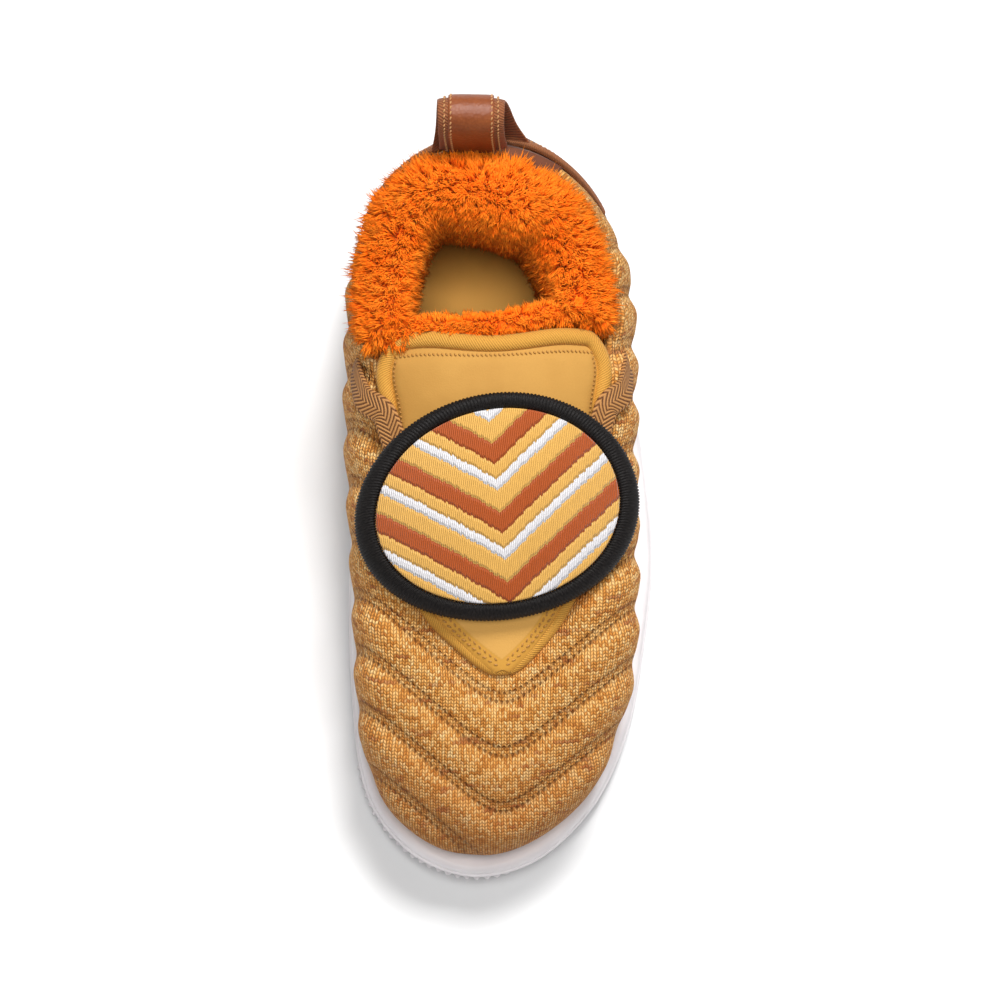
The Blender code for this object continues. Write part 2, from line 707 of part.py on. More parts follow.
def make_patch(parts):
    angle = 2 * math.pi * np.arange(40) / 40
    shares = (0.3, 0.65, 1.0)
    rings = [patch_point(angle, share, 0.0) for share in shares]
    rings += [patch_point(angle, share, PATCH_THICK) for share in reversed(shares)]
    around = len(angle)
    vertices = np.vstack(rings + [patch_point(0.0, 0.0, 0.0)[None], patch_point(0.0, 0.0, PATCH_THICK)[None]])
    faces = ring_faces(len(rings), around)
    low_middle = len(rings) * around
    last = (len(rings) - 1) * around
    for i in range(around):
        j = (i + 1) % around
        faces += [(j, i, low_middle), (last + i, last + j, low_middle + 1)]
    return new_object("patch", parts, vertices, faces)


def make_patch_border(parts):
    """Rounded overlocked rim round the patch."""
    around, sides = 48, 6
    angle = 2 * math.pi * np.arange(around) / around
    inner_share = 1 + GAP / PATCH_HALF_LENGTH
    width_share = BORDER_WIDTH / (0.5 * (PATCH_HALF_LENGTH + PATCH_HALF_WIDTH))
    rings = []
    for side in range(sides):
        turn = 2 * math.pi * side / sides + math.pi / sides
        share = inner_share + width_share * (0.5 + 0.577 * math.cos(turn))
        rise = PATCH_THICK / 2 + BORDER_HEIGHT * 0.5 * math.sin(turn)
        rings.append(patch_point(angle, share, rise))
    faces = ring_faces(sides, around)
    last = (sides - 1) * around
    for i in range(around):
        j = (i + 1) % around
        faces.append((last + i, last + j, j, i))
    return new_object("patch_border", parts, np.vstack(rings), faces)


def make_strap(name, parts, side):
    """Flat elastic from the knit beside the collar, over the tongue's rolled edge, to under the patch."""
    run = np.linspace(0, 1, 6)[:, None]
    t = STRAP_START + (STRAP_END[0] - STRAP_START) * run
    s = side * (1.0 + (STRAP_END[1] - 1.0) * run)
    line = off_tongue(t, s, np.full_like(t, TONGUE_THICK + TONGUE_EDGE + 2 * GAP))[:, 0]
    normal = tongue_normal(t, s)[:, 0]
    share, away, rise = np.asarray(STRAP_ON_KNIT).T
    u = 0.5 - side * tongue_reach(share)
    v = 1 - (TONGUE_OVERLAP + away) / opening_span(u)
    line = np.vstack([off_upper(u, v, rise), line])
    normal = np.vstack([upper_normal(u, v), normal])
    across = np.cross(normal, np.gradient(line, axis=0))
    across = across / np.linalg.norm(across, axis=-1, keepdims=True)
    offsets = np.array((-0.5, 0.0, 0.5))[None, :, None] * STRAP_WIDTH
    under = line[:, None] + across[:, None] * offsets
    return grid_solid(name, parts, under + normal[:, None] * STRAP_THICK, under)


def fur_path(u):
    """Line and size of the fur roll: the collar edge, closed by a thin stretch behind the tongue's top."""
    side = u - 0.5
    front = np.abs(side) < TONGUE_TOP_U
    behind_tongue = tongue_form(np.ones_like(u), np.clip(-side / TONGUE_TOP_U, -1, 1)) + FUR_BEHIND_TONGUE
    path = np.where(front[:, None], behind_tongue, OPENING_RING.at(u))
    size = np.where(front, FUR_FRONT_SIZE, 1.0)
    return path, size


def make_fur_collar(parts):
    """Plush roll on the collar. The points of its skin are drawn out into locks of unlike length."""
    rng = np.random.default_rng(7)
    u = np.arange(FUR_AROUND) / FUR_AROUND
    side = (u - 0.5) / FUR_FRONT_SHARE
    collar = (np.abs(u - 0.5) - FUR_FRONT_SHARE) / (0.5 - FUR_FRONT_SHARE)
    reach = np.where(collar < 0, np.abs(side) * TONGUE_TOP_U, TONGUE_TOP_U + collar * (0.5 - TONGUE_TOP_U))
    place = 0.5 + np.sign(u - 0.5) * reach
    path, size = fur_path(place)
    soft = np.array((0.25, 0.5, 0.25))
    for _ in range(3):
        around = np.stack([np.roll(path, 1, axis=0), path, np.roll(path, -1, axis=0)])
        path = np.einsum("k,kij->ij", soft, around)
        size = soft @ np.stack([np.roll(size, 1), size, np.roll(size, -1)])
    run = np.roll(path, -1, axis=0) - np.roll(path, 1, axis=0)
    run = run[:, :2] / np.linalg.norm(run[:, :2], axis=-1, keepdims=True)
    inward = np.column_stack([run[:, 1], -run[:, 0], np.zeros(len(run))])
    ring_place, inset, width = np.asarray(FUR_PLAN).T
    path = path + inward * np.interp(place, ring_place, inset)[:, None]
    width = np.interp(place, ring_place, width)
    section = np.asarray(FUR_SECTION)
    middle_of_section = section.mean(axis=0)
    rings = []
    for k, (reach, rise) in enumerate(FUR_SECTION):
        outward = np.array((reach, rise)) - middle_of_section
        outward = outward / np.linalg.norm(outward)
        on_top = 1 <= k <= 9
        lock = FUR_LOCK * rng.uniform(0.0, 1.0, FUR_AROUND) ** 1.6 * on_top
        broad = min(reach, FUR_ROOT) + max(reach - FUR_ROOT, 0) * width
        inside = (broad + lock * outward[0]) * size
        up = (rise + lock * outward[1]) * size
        rings.append(path + inward * inside[:, None] + np.outer(up, (0, 0, 1)))
    faces = ring_faces(len(rings), FUR_AROUND)
    last = (len(rings) - 1) * FUR_AROUND
    for i in range(FUR_AROUND):
        j = (i + 1) % FUR_AROUND
        faces.append((last + i, last + j, j, i))
    return new_object("fur_collar", parts, np.vstack(rings), faces, smooth_angle=80)


def make_heel_counter(parts):
    """Brown panel over the back of the heel, highest in the middle."""
    u = np.linspace(-COUNTER_REACH, COUNTER_REACH, 19)[:, None]
    share = np.linspace(0, 1, 6)[None, :]
    middle, end = COUNTER_TOP
    top = middle + (end - middle) * (np.abs(u) / COUNTER_REACH) ** COUNTER_SWEEP
    v = COUNTER_FOOT + (top - COUNTER_FOOT) * share
    u = u + 0 * share
    outer = off_upper(u, v, np.full_like(v, COUNTER_GAP + COUNTER_THICK))
    return grid_solid("heel_counter", parts, outer, off_upper(u, v, np.full_like(v, COUNTER_GAP)))


def make_pull_loop(parts):
    """Folded strap: it rises from the counter, folds at the top and comes down in front."""
    path = np.asarray(LOOP_PATH)
    run = np.linspace(0, 1, len(path))
    fine = np.linspace(0, 1, 15)
    table = np.column_stack([run, path])
    y, z, x, half, bow = (smooth_column(table, k, fine) for k in range(1, 6))
    forward = np.gradient(np.column_stack([y, z]), axis=0)
    forward = forward / np.linalg.norm(forward, axis=-1, keepdims=True)
    out_y, out_z = forward[:, 1], -forward[:, 0]
    across = np.array((-1.0, -0.5, 0.0, 0.5, 1.0))[None, :]
    spread = x[:, None] + half[:, None] * across
    inner = np.stack([spread, y[:, None] - bow[:, None] * across ** 2, z[:, None] + 0 * across], axis=-1)
    outward = np.column_stack([np.zeros_like(y), out_y, out_z])[:, None] * LOOP_THICK
    return grid_solid("pull_loop", parts, inner + outward, inner)


def centre_on_floor(parts):
    """Hang every piece on one empty that puts the middle of the shoe's box at the origin."""
    bpy.context.view_layer.update()
    graph = bpy.context.evaluated_depsgraph_get()
    corners = []
    for item in parts.objects:
        shape = item.evaluated_get(graph)
        corners += [item.matrix_world @ vertex.co for vertex in shape.data.vertices]
    corners = np.asarray(corners)
    low, high = corners.min(axis=0), corners.max(axis=0)
    frame = bpy.data.objects.new("shoe_frame", None)
    frame.location = (-(low[0] + high[0]) / 2, -(low[1] + high[1]) / 2, -low[2])
    for item in list(parts.objects):
        item.parent = frame
    parts.objects.link(frame)


def main():
    for item in list(bpy.data.objects):
        bpy.data.objects.remove(item, do_unlink=True)
    parts = bpy.data.collections.new("slip_on_shoe")
    cutters = bpy.data.collections.new("cutters")
    bpy.context.scene.collection.children.link(parts)
    bpy.context.scene.collection.children.link(cutters)
    make_outsole(parts, cutters)
    make_midsole(parts)
    make_insole(parts)
    make_upper(parts)
    make_tongue(parts)
    make_patch(parts)
    make_patch_border(parts)
    make_strap("strap_inner", parts, -1)
    make_strap("strap_outer", parts, 1)
    make_fur_collar(parts)
    make_heel_counter(parts)
    make_pull_loop(parts)
    centre_on_floor(parts)


main()
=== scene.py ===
import math

import bmesh
import bpy
import numpy as np
from mathutils import Matrix, Vector


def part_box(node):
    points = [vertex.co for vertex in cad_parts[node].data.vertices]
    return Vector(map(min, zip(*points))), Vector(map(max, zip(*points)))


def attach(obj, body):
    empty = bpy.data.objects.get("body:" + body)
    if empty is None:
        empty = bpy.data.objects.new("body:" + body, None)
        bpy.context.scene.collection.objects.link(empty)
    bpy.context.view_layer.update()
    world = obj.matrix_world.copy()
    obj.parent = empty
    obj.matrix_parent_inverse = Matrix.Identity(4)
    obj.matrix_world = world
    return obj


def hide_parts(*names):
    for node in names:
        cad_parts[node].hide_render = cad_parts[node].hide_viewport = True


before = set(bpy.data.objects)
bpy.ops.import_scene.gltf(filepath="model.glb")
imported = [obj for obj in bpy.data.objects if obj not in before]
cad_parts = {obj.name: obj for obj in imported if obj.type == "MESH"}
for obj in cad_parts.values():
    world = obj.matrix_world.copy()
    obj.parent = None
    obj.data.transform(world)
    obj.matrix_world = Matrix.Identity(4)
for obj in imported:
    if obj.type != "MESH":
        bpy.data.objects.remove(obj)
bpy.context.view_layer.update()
millimetre = 0.001
pi = math.pi

# Toddler slip-on shoe, left foot. Sizes are in millimetres: toe towards -Y, outer side towards +X.

soleShape = {
    "heelBack": (-4.0, 82.0),
    "toeTip": (-5.0, -83.5),
    "gap": 0.3,  # clearance between pieces that meet
    "outsoleThick": 3.4,
    "toeSpring": 6.2,
    "toeSpringStart": -60.0,
    "archRise": 2.2,
    "archSpan": (-20.0, 34.0),
    "heelBevel": 2.6,
    "heelBevelStart": 71.0,
    "plan": (  # y, inner edge, outer edge
        (77.0, -15.5, 9.5), (69.0, -23.0, 18.6), (58.0, -26.8, 24.0), (44.0, -28.4, 27.0),
        (28.0, -29.6, 29.2), (12.0, -31.0, 31.6), (-4.0, -32.0, 33.6), (-18.0, -32.6, 33.9),
        (-32.0, -32.5, 32.3), (-46.0, -31.7, 30.0), (-58.0, -30.4, 26.2), (-68.0, -27.4, 20.8),
        (-76.0, -21.6, 13.6), (-81.0, -14.6, 6.2),
    ),
    "heights": (  # y, top of the sole, widest line of the upper
        (-84.0, 15.2, 21.5), (-72.0, 13.4, 23.5), (-60.0, 12.4, 25.0), (-40.0, 12.0, 27.0),
        (-22.0, 12.6, 29.5), (-6.0, 14.0, 31.5), (12.0, 15.4, 33.0), (30.0, 16.6, 34.0),
        (50.0, 17.6, 34.5), (70.0, 18.6, 34.0), (83.0, 19.6, 33.5),
    ),
}

upperShape = {
    "wall": 2.2,
    "bulgeShare": 0.2,  # share of the wall's rise below its widest line
    "bulgeHeel": (-4.2, 73.0),
    "bulgeToe": (-5.4, -79.5),
    "collarBack": (-4.5, 63.5, 71.0),
    "throatTip": (-0.3, -38.6, 41.4),
    "ridgePitch": 11.2,
    "ridgeStart": -1.5,  # place along the foot from which the ridges are counted
    "ridgeHeight": 1.5,
    "ridgeSlope": 0.85,  # how far a ridge runs back for each step sideways
    "ridgeRound": 4.5,
    "bulge": (  # widest line: y, inner edge, outer edge
        (69.5, -14.0, 5.2), (63.0, -22.6, 13.8), (54.0, -29.4, 21.8), (42.0, -32.6, 26.2),
        (28.0, -33.3, 27.3), (12.0, -33.4, 27.6), (-4.0, -32.8, 27.8), (-20.0, -31.9, 28.2),
        (-34.0, -31.2, 28.2), (-46.0, -30.6, 26.9), (-57.0, -29.2, 23.2), (-66.0, -25.9, 18.8),
        (-72.4, -20.9, 13.0), (-77.3, -13.8, 4.8),
    ),
    "opening": (  # collar and throat: y, middle, half width, height
        (59.5, -4.4, 14.5, 69.6), (51.5, -4.0, 21.6, 66.4), (40.0, -3.6, 24.8, 62.6),
        (28.0, -3.4, 25.2, 60.8), (19.0, -3.3, 23.9, 60.4), (7.0, -2.9, 21.0, 58.4),
        (-6.0, -2.5, 18.8, 54.8), (-18.0, -2.2, 16.6, 50.4), (-27.0, -2.1, 13.5, 46.4),
        (-33.5, -1.2, 7.8, 43.4),
    ),
    "footInset": (  # place on the ring, distance in from the sole's edge
        (0.00, 6.4), (0.10, 5.2), (0.20, 4.2), (0.32, 6.2), (0.40, 5.4), (0.50, 4.6),
        (0.60, 3.8), (0.72, 3.0), (0.90, 3.6), (1.00, 6.4),
    ),
    "counterReach": 0.085,  # half length of the heel panel along the ring
}


# Natural cubic through one column of a table whose first column is the position.
def smoothColumn(table, column, at):
    rows = np.asarray(table, float)
    rows = rows[np.argsort(rows[:, 0])]
    place, value = rows[:, 0], rows[:, column]
    count, step = len(place), np.diff(place)
    slope = np.diff(value) / step
    matrix, right = np.eye(count), np.zeros(count)
    inside = np.arange(1, count - 1)
    matrix[inside, inside - 1] = step[:-1]
    matrix[inside, inside] = 2 * (step[:-1] + step[1:])
    matrix[inside, inside + 1] = step[1:]
    right[inside] = 6 * np.diff(slope)
    bend = np.linalg.solve(matrix, right)
    at = np.clip(np.asarray(at, float), place[0], place[-1])
    i = np.clip(np.searchsorted(place, at) - 1, 0, count - 2)
    a = (place[i + 1] - at) / step[i]
    b = 1 - a
    curve = ((a ** 3 - a) * bend[i] + (b ** 3 - b) * bend[i + 1]) * step[i] ** 2 / 6
    return a * value[i] + b * value[i + 1] + curve


# Length of a line up to each of its points.
def runLength(line):
    return np.concatenate([[0], np.cumsum(np.linalg.norm(np.diff(line, axis=0), axis=1))])


# Closed cubic through the points with the same bend on both sides of each, read by arc length:
# 0 is the heel, 0.5 the toe, outer side first.
def makeRing(points, toeIndex, perSpan=24):
    points = np.asarray(points, float)
    count = len(points)
    following, previous = np.roll(points, -1, axis=0), np.roll(points, 1, axis=0)
    after = np.sqrt(np.linalg.norm(following - points, axis=1))
    before = np.roll(after, 1)
    matrix = np.zeros((count, count))
    i = np.arange(count)
    matrix[i, i - 1] = after
    matrix[i, i] = 2 * (before + after)
    matrix[i, (i + 1) % count] = before
    rise = (after / before)[:, None] * (points - previous)
    tangent = np.linalg.solve(matrix, 3 * (rise + (before / after)[:, None] * (following - points)))
    t = np.linspace(0, 1, perSpan, endpoint=False)[None, :, None]
    leave = (tangent * after[:, None])[:, None]
    arrive = (np.roll(tangent, -1, axis=0) * after[:, None])[:, None]
    dense = (2 * t ** 3 - 3 * t ** 2 + 1) * points[:, None] + (t ** 3 - 2 * t ** 2 + t) * leave
    dense = dense + (3 * t ** 2 - 2 * t ** 3) * following[:, None] + (t ** 3 - t ** 2) * arrive
    dense = dense.reshape(-1, points.shape[1])
    dense = np.vstack([dense, dense[:1]])
    along = runLength(dense)
    toe = along[toeIndex * perSpan]
    place = np.where(along <= toe, 0.5 * along / toe, 0.5 + 0.5 * (along - toe) / (along[-1] - toe))
    return {"dense": dense, "place": place, "length": along[-1]}


# Point on a ring at place u, by straight steps between its dense points.
def ringAt(ring, u):
    u = np.asarray(u, float) % 1.0
    return np.stack([np.interp(u, ring["place"], axis) for axis in ring["dense"].T], axis=-1)


# Ring in the plan from rows of y, inner and outer edge, with a heel and a toe point.
def planRing(table, heel, toe):
    outer = [(row[2], row[0]) for row in table]
    inner = [(row[1], row[0]) for row in reversed(table)]
    return makeRing([heel] + outer + [toe] + inner, len(table) + 1)


# Ring in space from rows of y, middle, half width and height.
def openingRing(table, back, tip):
    outer = [(middle + half, y, z) for y, middle, half, z in table]
    inner = [(middle - half, y, z) for y, middle, half, z in reversed(table)]
    return makeRing([back] + outer + [tip] + inner, len(table) + 1)


gap = soleShape["gap"]
soleRing = planRing(soleShape["plan"], soleShape["heelBack"], soleShape["toeTip"])
bulgeRing = planRing(upperShape["bulge"], upperShape["bulgeHeel"], upperShape["bulgeToe"])
collarRing = openingRing(upperShape["opening"], upperShape["collarBack"], upperShape["throatTip"])

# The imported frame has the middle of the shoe's box at the origin: the midsole shows the shift.
midsoleLow, midsoleHigh = (np.array(corner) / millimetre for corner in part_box("midsole"))
ringLow, ringHigh = soleRing["dense"].min(axis=0), soleRing["dense"].max(axis=0)
shoeShift = np.append((midsoleLow + midsoleHigh)[:2] / 2 - (ringLow + ringHigh) / 2, 0.0)


# Millimetres of the shoe to metres of the frame.
def inFrame(points):
    return (np.asarray(points, float) + shoeShift) * millimetre


# Vectors divided by their lengths.
def unit(vectors):
    return vectors / np.maximum(np.linalg.norm(vectors, axis=-1, keepdims=True), 1e-9)


# Smooth step: 3 x^2 - 2 x^3 from 0 to 1.
def ease(x):
    x = np.clip(x, 0, 1)
    return x * x * (3 - 2 * x)


def pair(a, b):
    return np.broadcast_arrays(np.asarray(a, float), np.asarray(b, float))


def steps(count):
    return np.arange(count) / count


def withHeight(plan, height):
    return np.concatenate([plan, height[..., None]], axis=-1)


# A direction in the plan, turned a quarter to the right: inwards for the rings of the shoe.
def turned(run):
    return np.stack([run[..., 1], -run[..., 0]], axis=-1)


# Rows of a table with their place from 0 to 1 put before them.
def evenRows(rows):
    return np.column_stack([np.linspace(0, 1, len(rows)), rows])


# Height of the tread over the floor: flat at heel and forefoot, raised at toe, arch and heel end.
def underside(y):
    s = soleShape
    toe = np.clip((s["toeSpringStart"] - y) / (s["toeSpringStart"] - s["toeTip"][1]), 0, 1) ** 1.6
    start, end = s["archSpan"]
    arch = np.sin(pi * np.clip((y - start) / (end - start), 0, 1)) ** 2
    heel = np.clip((y - s["heelBevelStart"]) / (s["heelBack"][1] - s["heelBevelStart"]), 0, 1) ** 1.6
    return s["toeSpring"] * toe + s["archRise"] * arch + s["heelBevel"] * heel


# Height of the sole's upper edge along the foot.
def soleTop(y):
    return smoothColumn(soleShape["heights"], 1, y)


# Point on the sole's outline, moved in from its edge by the inset.
def solePlan(u, inset, nudge=0.002):
    run = unit(ringAt(soleRing, u + nudge) - ringAt(soleRing, u - nudge))
    return ringAt(soleRing, u) + turned(run) * np.asarray(inset)[..., None]


# Cubic from a to d, pulled towards b and c.
def bezier(a, b, c, d, t):
    t = t[..., None]
    return (1 - t) ** 3 * a + 3 * t * (1 - t) ** 2 * b + 3 * t ** 2 * (1 - t) * c + t ** 3 * d


# Outer face of the upper without its ridges: u runs round the foot, v from the sole to the opening.
# Two cubic arcs, one from the sole out to the widest line, one from there in to the opening's edge.
def upperForm(u, v):
    u, v = pair(u, v)
    share = upperShape["bulgeShare"]
    plan = solePlan(u, smoothColumn(upperShape["footInset"], 1, u % 1.0))
    foot = withHeight(plan, soleTop(plan[..., 1]) + gap)
    plan = ringAt(bulgeRing, u)
    wide = withHeight(plan, smoothColumn(soleShape["heights"], 2, plan[..., 1]))
    edge = ringAt(collarRing, u)
    lowRise, rise = wide - foot, edge - wide
    low = bezier(foot, foot + lowRise * (0.25, 0.25, 0.35), wide - lowRise * (0.0, 0.0, 0.35), wide,
                 np.clip(v / share, 0, 1))
    lean = 0.08 + 0.24 * ease(2.2 * np.abs(u - 0.5) - 0.2)
    towards = rise * withHeight(np.full(u.shape + (2,), 0.52), lean)
    high = bezier(wide, wide + rise * (0.0, 0.0, 0.6), edge - towards, edge,
                  np.clip((v - share) / (1 - share), 0, 1))
    return np.where((v < share)[..., None], low, high)


# Outward direction of the upper: cross product of its slopes up and along.
def upperNormal(u, v, nudge=0.004):
    along = upperForm(u + nudge, v) - upperForm(u - nudge, v)
    up = upperForm(u, np.clip(v + nudge, 0, 1)) - upperForm(u, np.clip(v - nudge, 0, 1))
    return unit(np.cross(up, along))


# Upper's face moved out along its normal.
def offUpper(u, v, distance):
    u, v = pair(u, v)
    return upperForm(u, v) + upperNormal(u, v) * np.broadcast_to(distance, u.shape)[..., None]


# Count of knit ridges from the throat: a blunt V across the foot, one step for each pitch along it.
def ridgePhase(place):
    side = place[..., 0] - upperShape["throatTip"][0]
    blunt = np.sqrt(side ** 2 + upperShape["ridgeRound"] ** 2)
    back = upperShape["ridgeStart"] + upperShape["ridgeSlope"] * blunt
    return (place[..., 1] - back) / upperShape["ridgePitch"]


# Ridges fade out towards the sole, the opening and the heel panel.
def ridgeFade(u, v):
    heel = np.clip((np.minimum(u % 1, 1 - u % 1) - upperShape["counterReach"] - 0.008) / 0.04, 0, 1)
    return ease(v / 0.45) * ease((1 - v) / 0.14) * heel


# Quads of a grid of points, row after row, closed round either way if asked.
def gridFaces(rows, columns, closeRows=False, closeColumns=False):
    index = np.arange(rows * columns).reshape(rows, columns)
    if closeRows:
        index = np.vstack([index, index[:1]])
    if closeColumns:
        index = np.hstack([index, index[:, :1]])
    a, b, c, d = index[:-1, :-1], index[:-1, 1:], index[1:, 1:], index[1:, :-1]
    return np.stack([a, b, c, d], axis=-1).reshape(-1, 4)


# Closed sheet between two grids of equal size: quads of both faces and of the rim between them.
def sheetFaces(rows, columns):
    front = gridFaces(rows, columns)
    size = rows * columns
    index = np.arange(size).reshape(rows, columns)
    rim = np.concatenate([index[0, :-1], index[:-1, -1], index[-1, :0:-1], index[:0:-1, 0]])
    after = np.roll(rim, -1)
    edge = np.stack([rim, rim + size, after + size, after], axis=-1)
    return np.concatenate([front, front[:, ::-1] + size, edge])


# Cloth map from the ways along and across a grid, in millimetres.
def mapOf(along, across):
    return np.stack(pair(along, across), axis=-1)


# Mesh object from points in millimetres and equal-sided faces, with a UV map and values on its points.
def newPiece(name, points, faces, material, slot, replaced=(), uv=None, values=None):
    points = inFrame(np.asarray(points).reshape(-1, 3))
    faces = np.asarray(faces)
    corners = points[faces]
    if np.sum(corners[:, 0] * np.cross(corners[:, 1], corners[:, 2])) < 0:  # inside out
        faces = faces[:, ::-1]
    mesh = bpy.data.meshes.new(name)
    mesh.vertices.add(len(points))
    mesh.vertices.foreach_set("co", points.astype(np.float32).ravel())
    mesh.loops.add(faces.size)
    mesh.loops.foreach_set("vertex_index", faces.astype(np.int32).ravel())
    mesh.polygons.add(len(faces))
    mesh.polygons.foreach_set("loop_start", np.arange(0, faces.size, faces.shape[1], dtype=np.int32))
    mesh.update(calc_edges=True)
    if uv is not None:
        layer = mesh.uv_layers.new(name="clothMap")
        layer.data.foreach_set("uv", np.asarray(uv).reshape(-1, 2)[faces.ravel()].astype(np.float32).ravel())
    for key, value in (values or {}).items():
        mesh.attributes.new(key, "FLOAT", "POINT").data.foreach_set("value", value.astype(np.float32).ravel())
    mesh.validate()
    mesh.shade_smooth()
    mesh.materials.append(material)
    item = bpy.data.objects.new(name, mesh)
    bpy.context.scene.collection.objects.link(item)
    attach(item, "root")
    if replaced:
        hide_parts(*replaced)
    return item


# Grid of points closed round its columns: its rows are a closed loop too, or else its poles are welded.
def gridPiece(name, grid, material, slot, replaced=(), uv=None, values=None, closeRows=False):
    faces = gridFaces(*grid.shape[:2], closeRows, closeColumns=True)
    item = newPiece(name, grid, faces, material, slot, replaced, uv, values)
    if not closeRows:
        work = bmesh.new()
        work.from_mesh(item.data)
        bmesh.ops.remove_doubles(work, verts=work.verts, dist=millimetre / 1000)
        work.to_mesh(item.data)
        work.free()


def sheetPiece(name, outer, inner, material, slot, replaced=(), values=None):
    values = {key: np.concatenate([value, value]) for key, value in (values or {}).items()}
    faces = sheetFaces(*outer.shape[:2])
    return newPiece(name, np.concatenate([outer, inner]), faces, material, slot, replaced, values=values)


# Node helpers. What a node gives out is a Wire, and sums of wires make math nodes.
class Wire:
    def __init__(self, socket):
        self.socket = socket


def treeOf(*values):
    return next(value.socket.id_data for value in values if isinstance(value, Wire))


def feed(socket, value):
    if isinstance(value, Wire):
        socket.id_data.links.new(value.socket, socket)
    else:
        socket.default_value = value


def addNode(tree, kind, inputs, output=0, **settings):
    node = tree.nodes.new("ShaderNode" + kind)
    for key, value in settings.items():
        setattr(node, key, value)
    for key, value in inputs.items():
        feed(node.inputs[key], value)
    return Wire(node.outputs[output])


def mathNode(operation, swapped=False):
    def act(*values):
        values = values[::-1] if swapped else values
        return addNode(treeOf(*values), "Math", dict(enumerate(values)), operation=operation)
    return act


Wire.__add__ = Wire.__radd__ = mathNode("ADD")
Wire.__mul__ = Wire.__rmul__ = mathNode("MULTIPLY")
Wire.__sub__, Wire.__rsub__ = mathNode("SUBTRACT"), mathNode("SUBTRACT", swapped=True)
Wire.__truediv__, Wire.__pow__, Wire.__abs__ = mathNode("DIVIDE"), mathNode("POWER"), mathNode("ABSOLUTE")
fraction, wholePart, squareRoot = mathNode("FRACT"), mathNode("FLOOR"), mathNode("SQRT")
largest, smallest, pingPong = mathNode("MAXIMUM"), mathNode("MINIMUM"), mathNode("PINGPONG")


def span(value, low, high):
    inputs = {"Value": value, "From Min": low, "From Max": high}
    return addNode(treeOf(value), "MapRange", inputs, "Result", interpolation_type="SMOOTHSTEP")


def mixColour(factor, first, second, mode="MIX"):
    inputs = {0: factor, 6: first, 7: second}
    return addNode(treeOf(factor, first, second), "Mix", inputs, 2, data_type="RGBA", blend_type=mode)


def tones(factor, stops, interpolation="LINEAR"):
    colour = addNode(treeOf(factor), "ValToRGB", {"Fac": factor}, "Color")
    ramp = colour.socket.node.color_ramp
    ramp.interpolation = interpolation
    while len(ramp.elements) < len(stops):
        ramp.elements.new(1.0)
    for element, (place, tone) in zip(ramp.elements, stops):
        element.position, element.color = place, (*tone, 1)
    return colour


def vector(x, y, z=0.0):
    return addNode(treeOf(x, y, z), "CombineXYZ", {"X": x, "Y": y, "Z": z})


def noise(place, scale, detail=2.0, roughness=0.5):
    inputs = {"Vector": place, "Scale": scale, "Detail": detail, "Roughness": roughness}
    return addNode(treeOf(place), "TexNoise", inputs)


def speckle(place):
    return addNode(treeOf(place), "TexWhiteNoise", {"Vector": place}, "Value", noise_dimensions="2D")


def clothMap(tree):
    parts = addNode(tree, "SeparateXYZ", {0: addNode(tree, "UVMap", {}, uv_map="clothMap")})
    return parts, Wire(parts.socket.node.outputs[1])


def onPoints(tree, key):
    return addNode(tree, "Attribute", {}, "Fac", attribute_name=key)


def objectPlace(tree):
    return addNode(tree, "TexCoord", {}, "Object")


def newMaterial(name, **sockets):
    material = bpy.data.materials.new(name)
    material.use_nodes = True
    for key, value in sockets.items():
        material.node_tree.nodes["Principled BSDF"].inputs[key.replace("_", " ")].default_value = value
    return material, material.node_tree


# Colour and bump go into the shader; the bump's depth is in millimetres.
def paint(material, colour, height=None, depth=0.0, strength=1.0):
    inputs = material.node_tree.nodes["Principled BSDF"].inputs
    feed(inputs["Base Color"], colour)
    if height is not None:
        bump = {"Strength": strength, "Distance": depth * millimetre, "Height": height}
        feed(inputs["Normal"], addNode(material.node_tree, "Bump", bump))
    return material


# Camera, light and floor

cameraView = {
    "side": -38.75,  # the camera stands this far towards the inner side
    "elevation": 80.0,
    "distance": 900.0,
    "lens": 146.6,
    "aim": (0.0, 2.3, 0.0),
}


def makeCamera():
    elevation = math.radians(cameraView["elevation"])
    aim = np.array(cameraView["aim"])
    back = np.array((0.0, -math.cos(elevation), math.sin(elevation))) * cameraView["distance"]
    spot = aim + back + (cameraView["side"], 0, 0)
    forward = Vector(aim - spot).normalized()
    right = forward.cross(Vector((0, 1, 0))).normalized()  # the shoe's length runs up the picture
    up = right.cross(forward)
    data = bpy.data.cameras.new("camera")
    data.lens = cameraView["lens"]
    data.sensor_width = 36.0
    data.clip_start, data.clip_end = 0.05, 20.0
    item = bpy.data.objects.new("camera", data)
    turn = Matrix((right, up, -forward)).transposed().to_4x4()
    item.matrix_world = Matrix.Translation(Vector(inFrame(spot))) @ turn
    bpy.context.scene.collection.objects.link(item)
    bpy.context.scene.camera = item


studio = {
    "sky": 0.16,
    "lamps": (  # name, place in metres, side in metres, watts
        ("overhead", (-0.05, -0.12, 1.5), 0.45, 12.0),
        ("rear", (0.14, 0.62, 1.40), 0.34, 22.0),
        ("front", (-0.35, -1.0, 1.2), 0.8, 1.2),
        ("side", (1.2, 0.1, 0.9), 0.9, 1.4),
    ),
    "floor": (0.76, 0.76, 0.76, 1),
    "floorSide": 4.0,
}


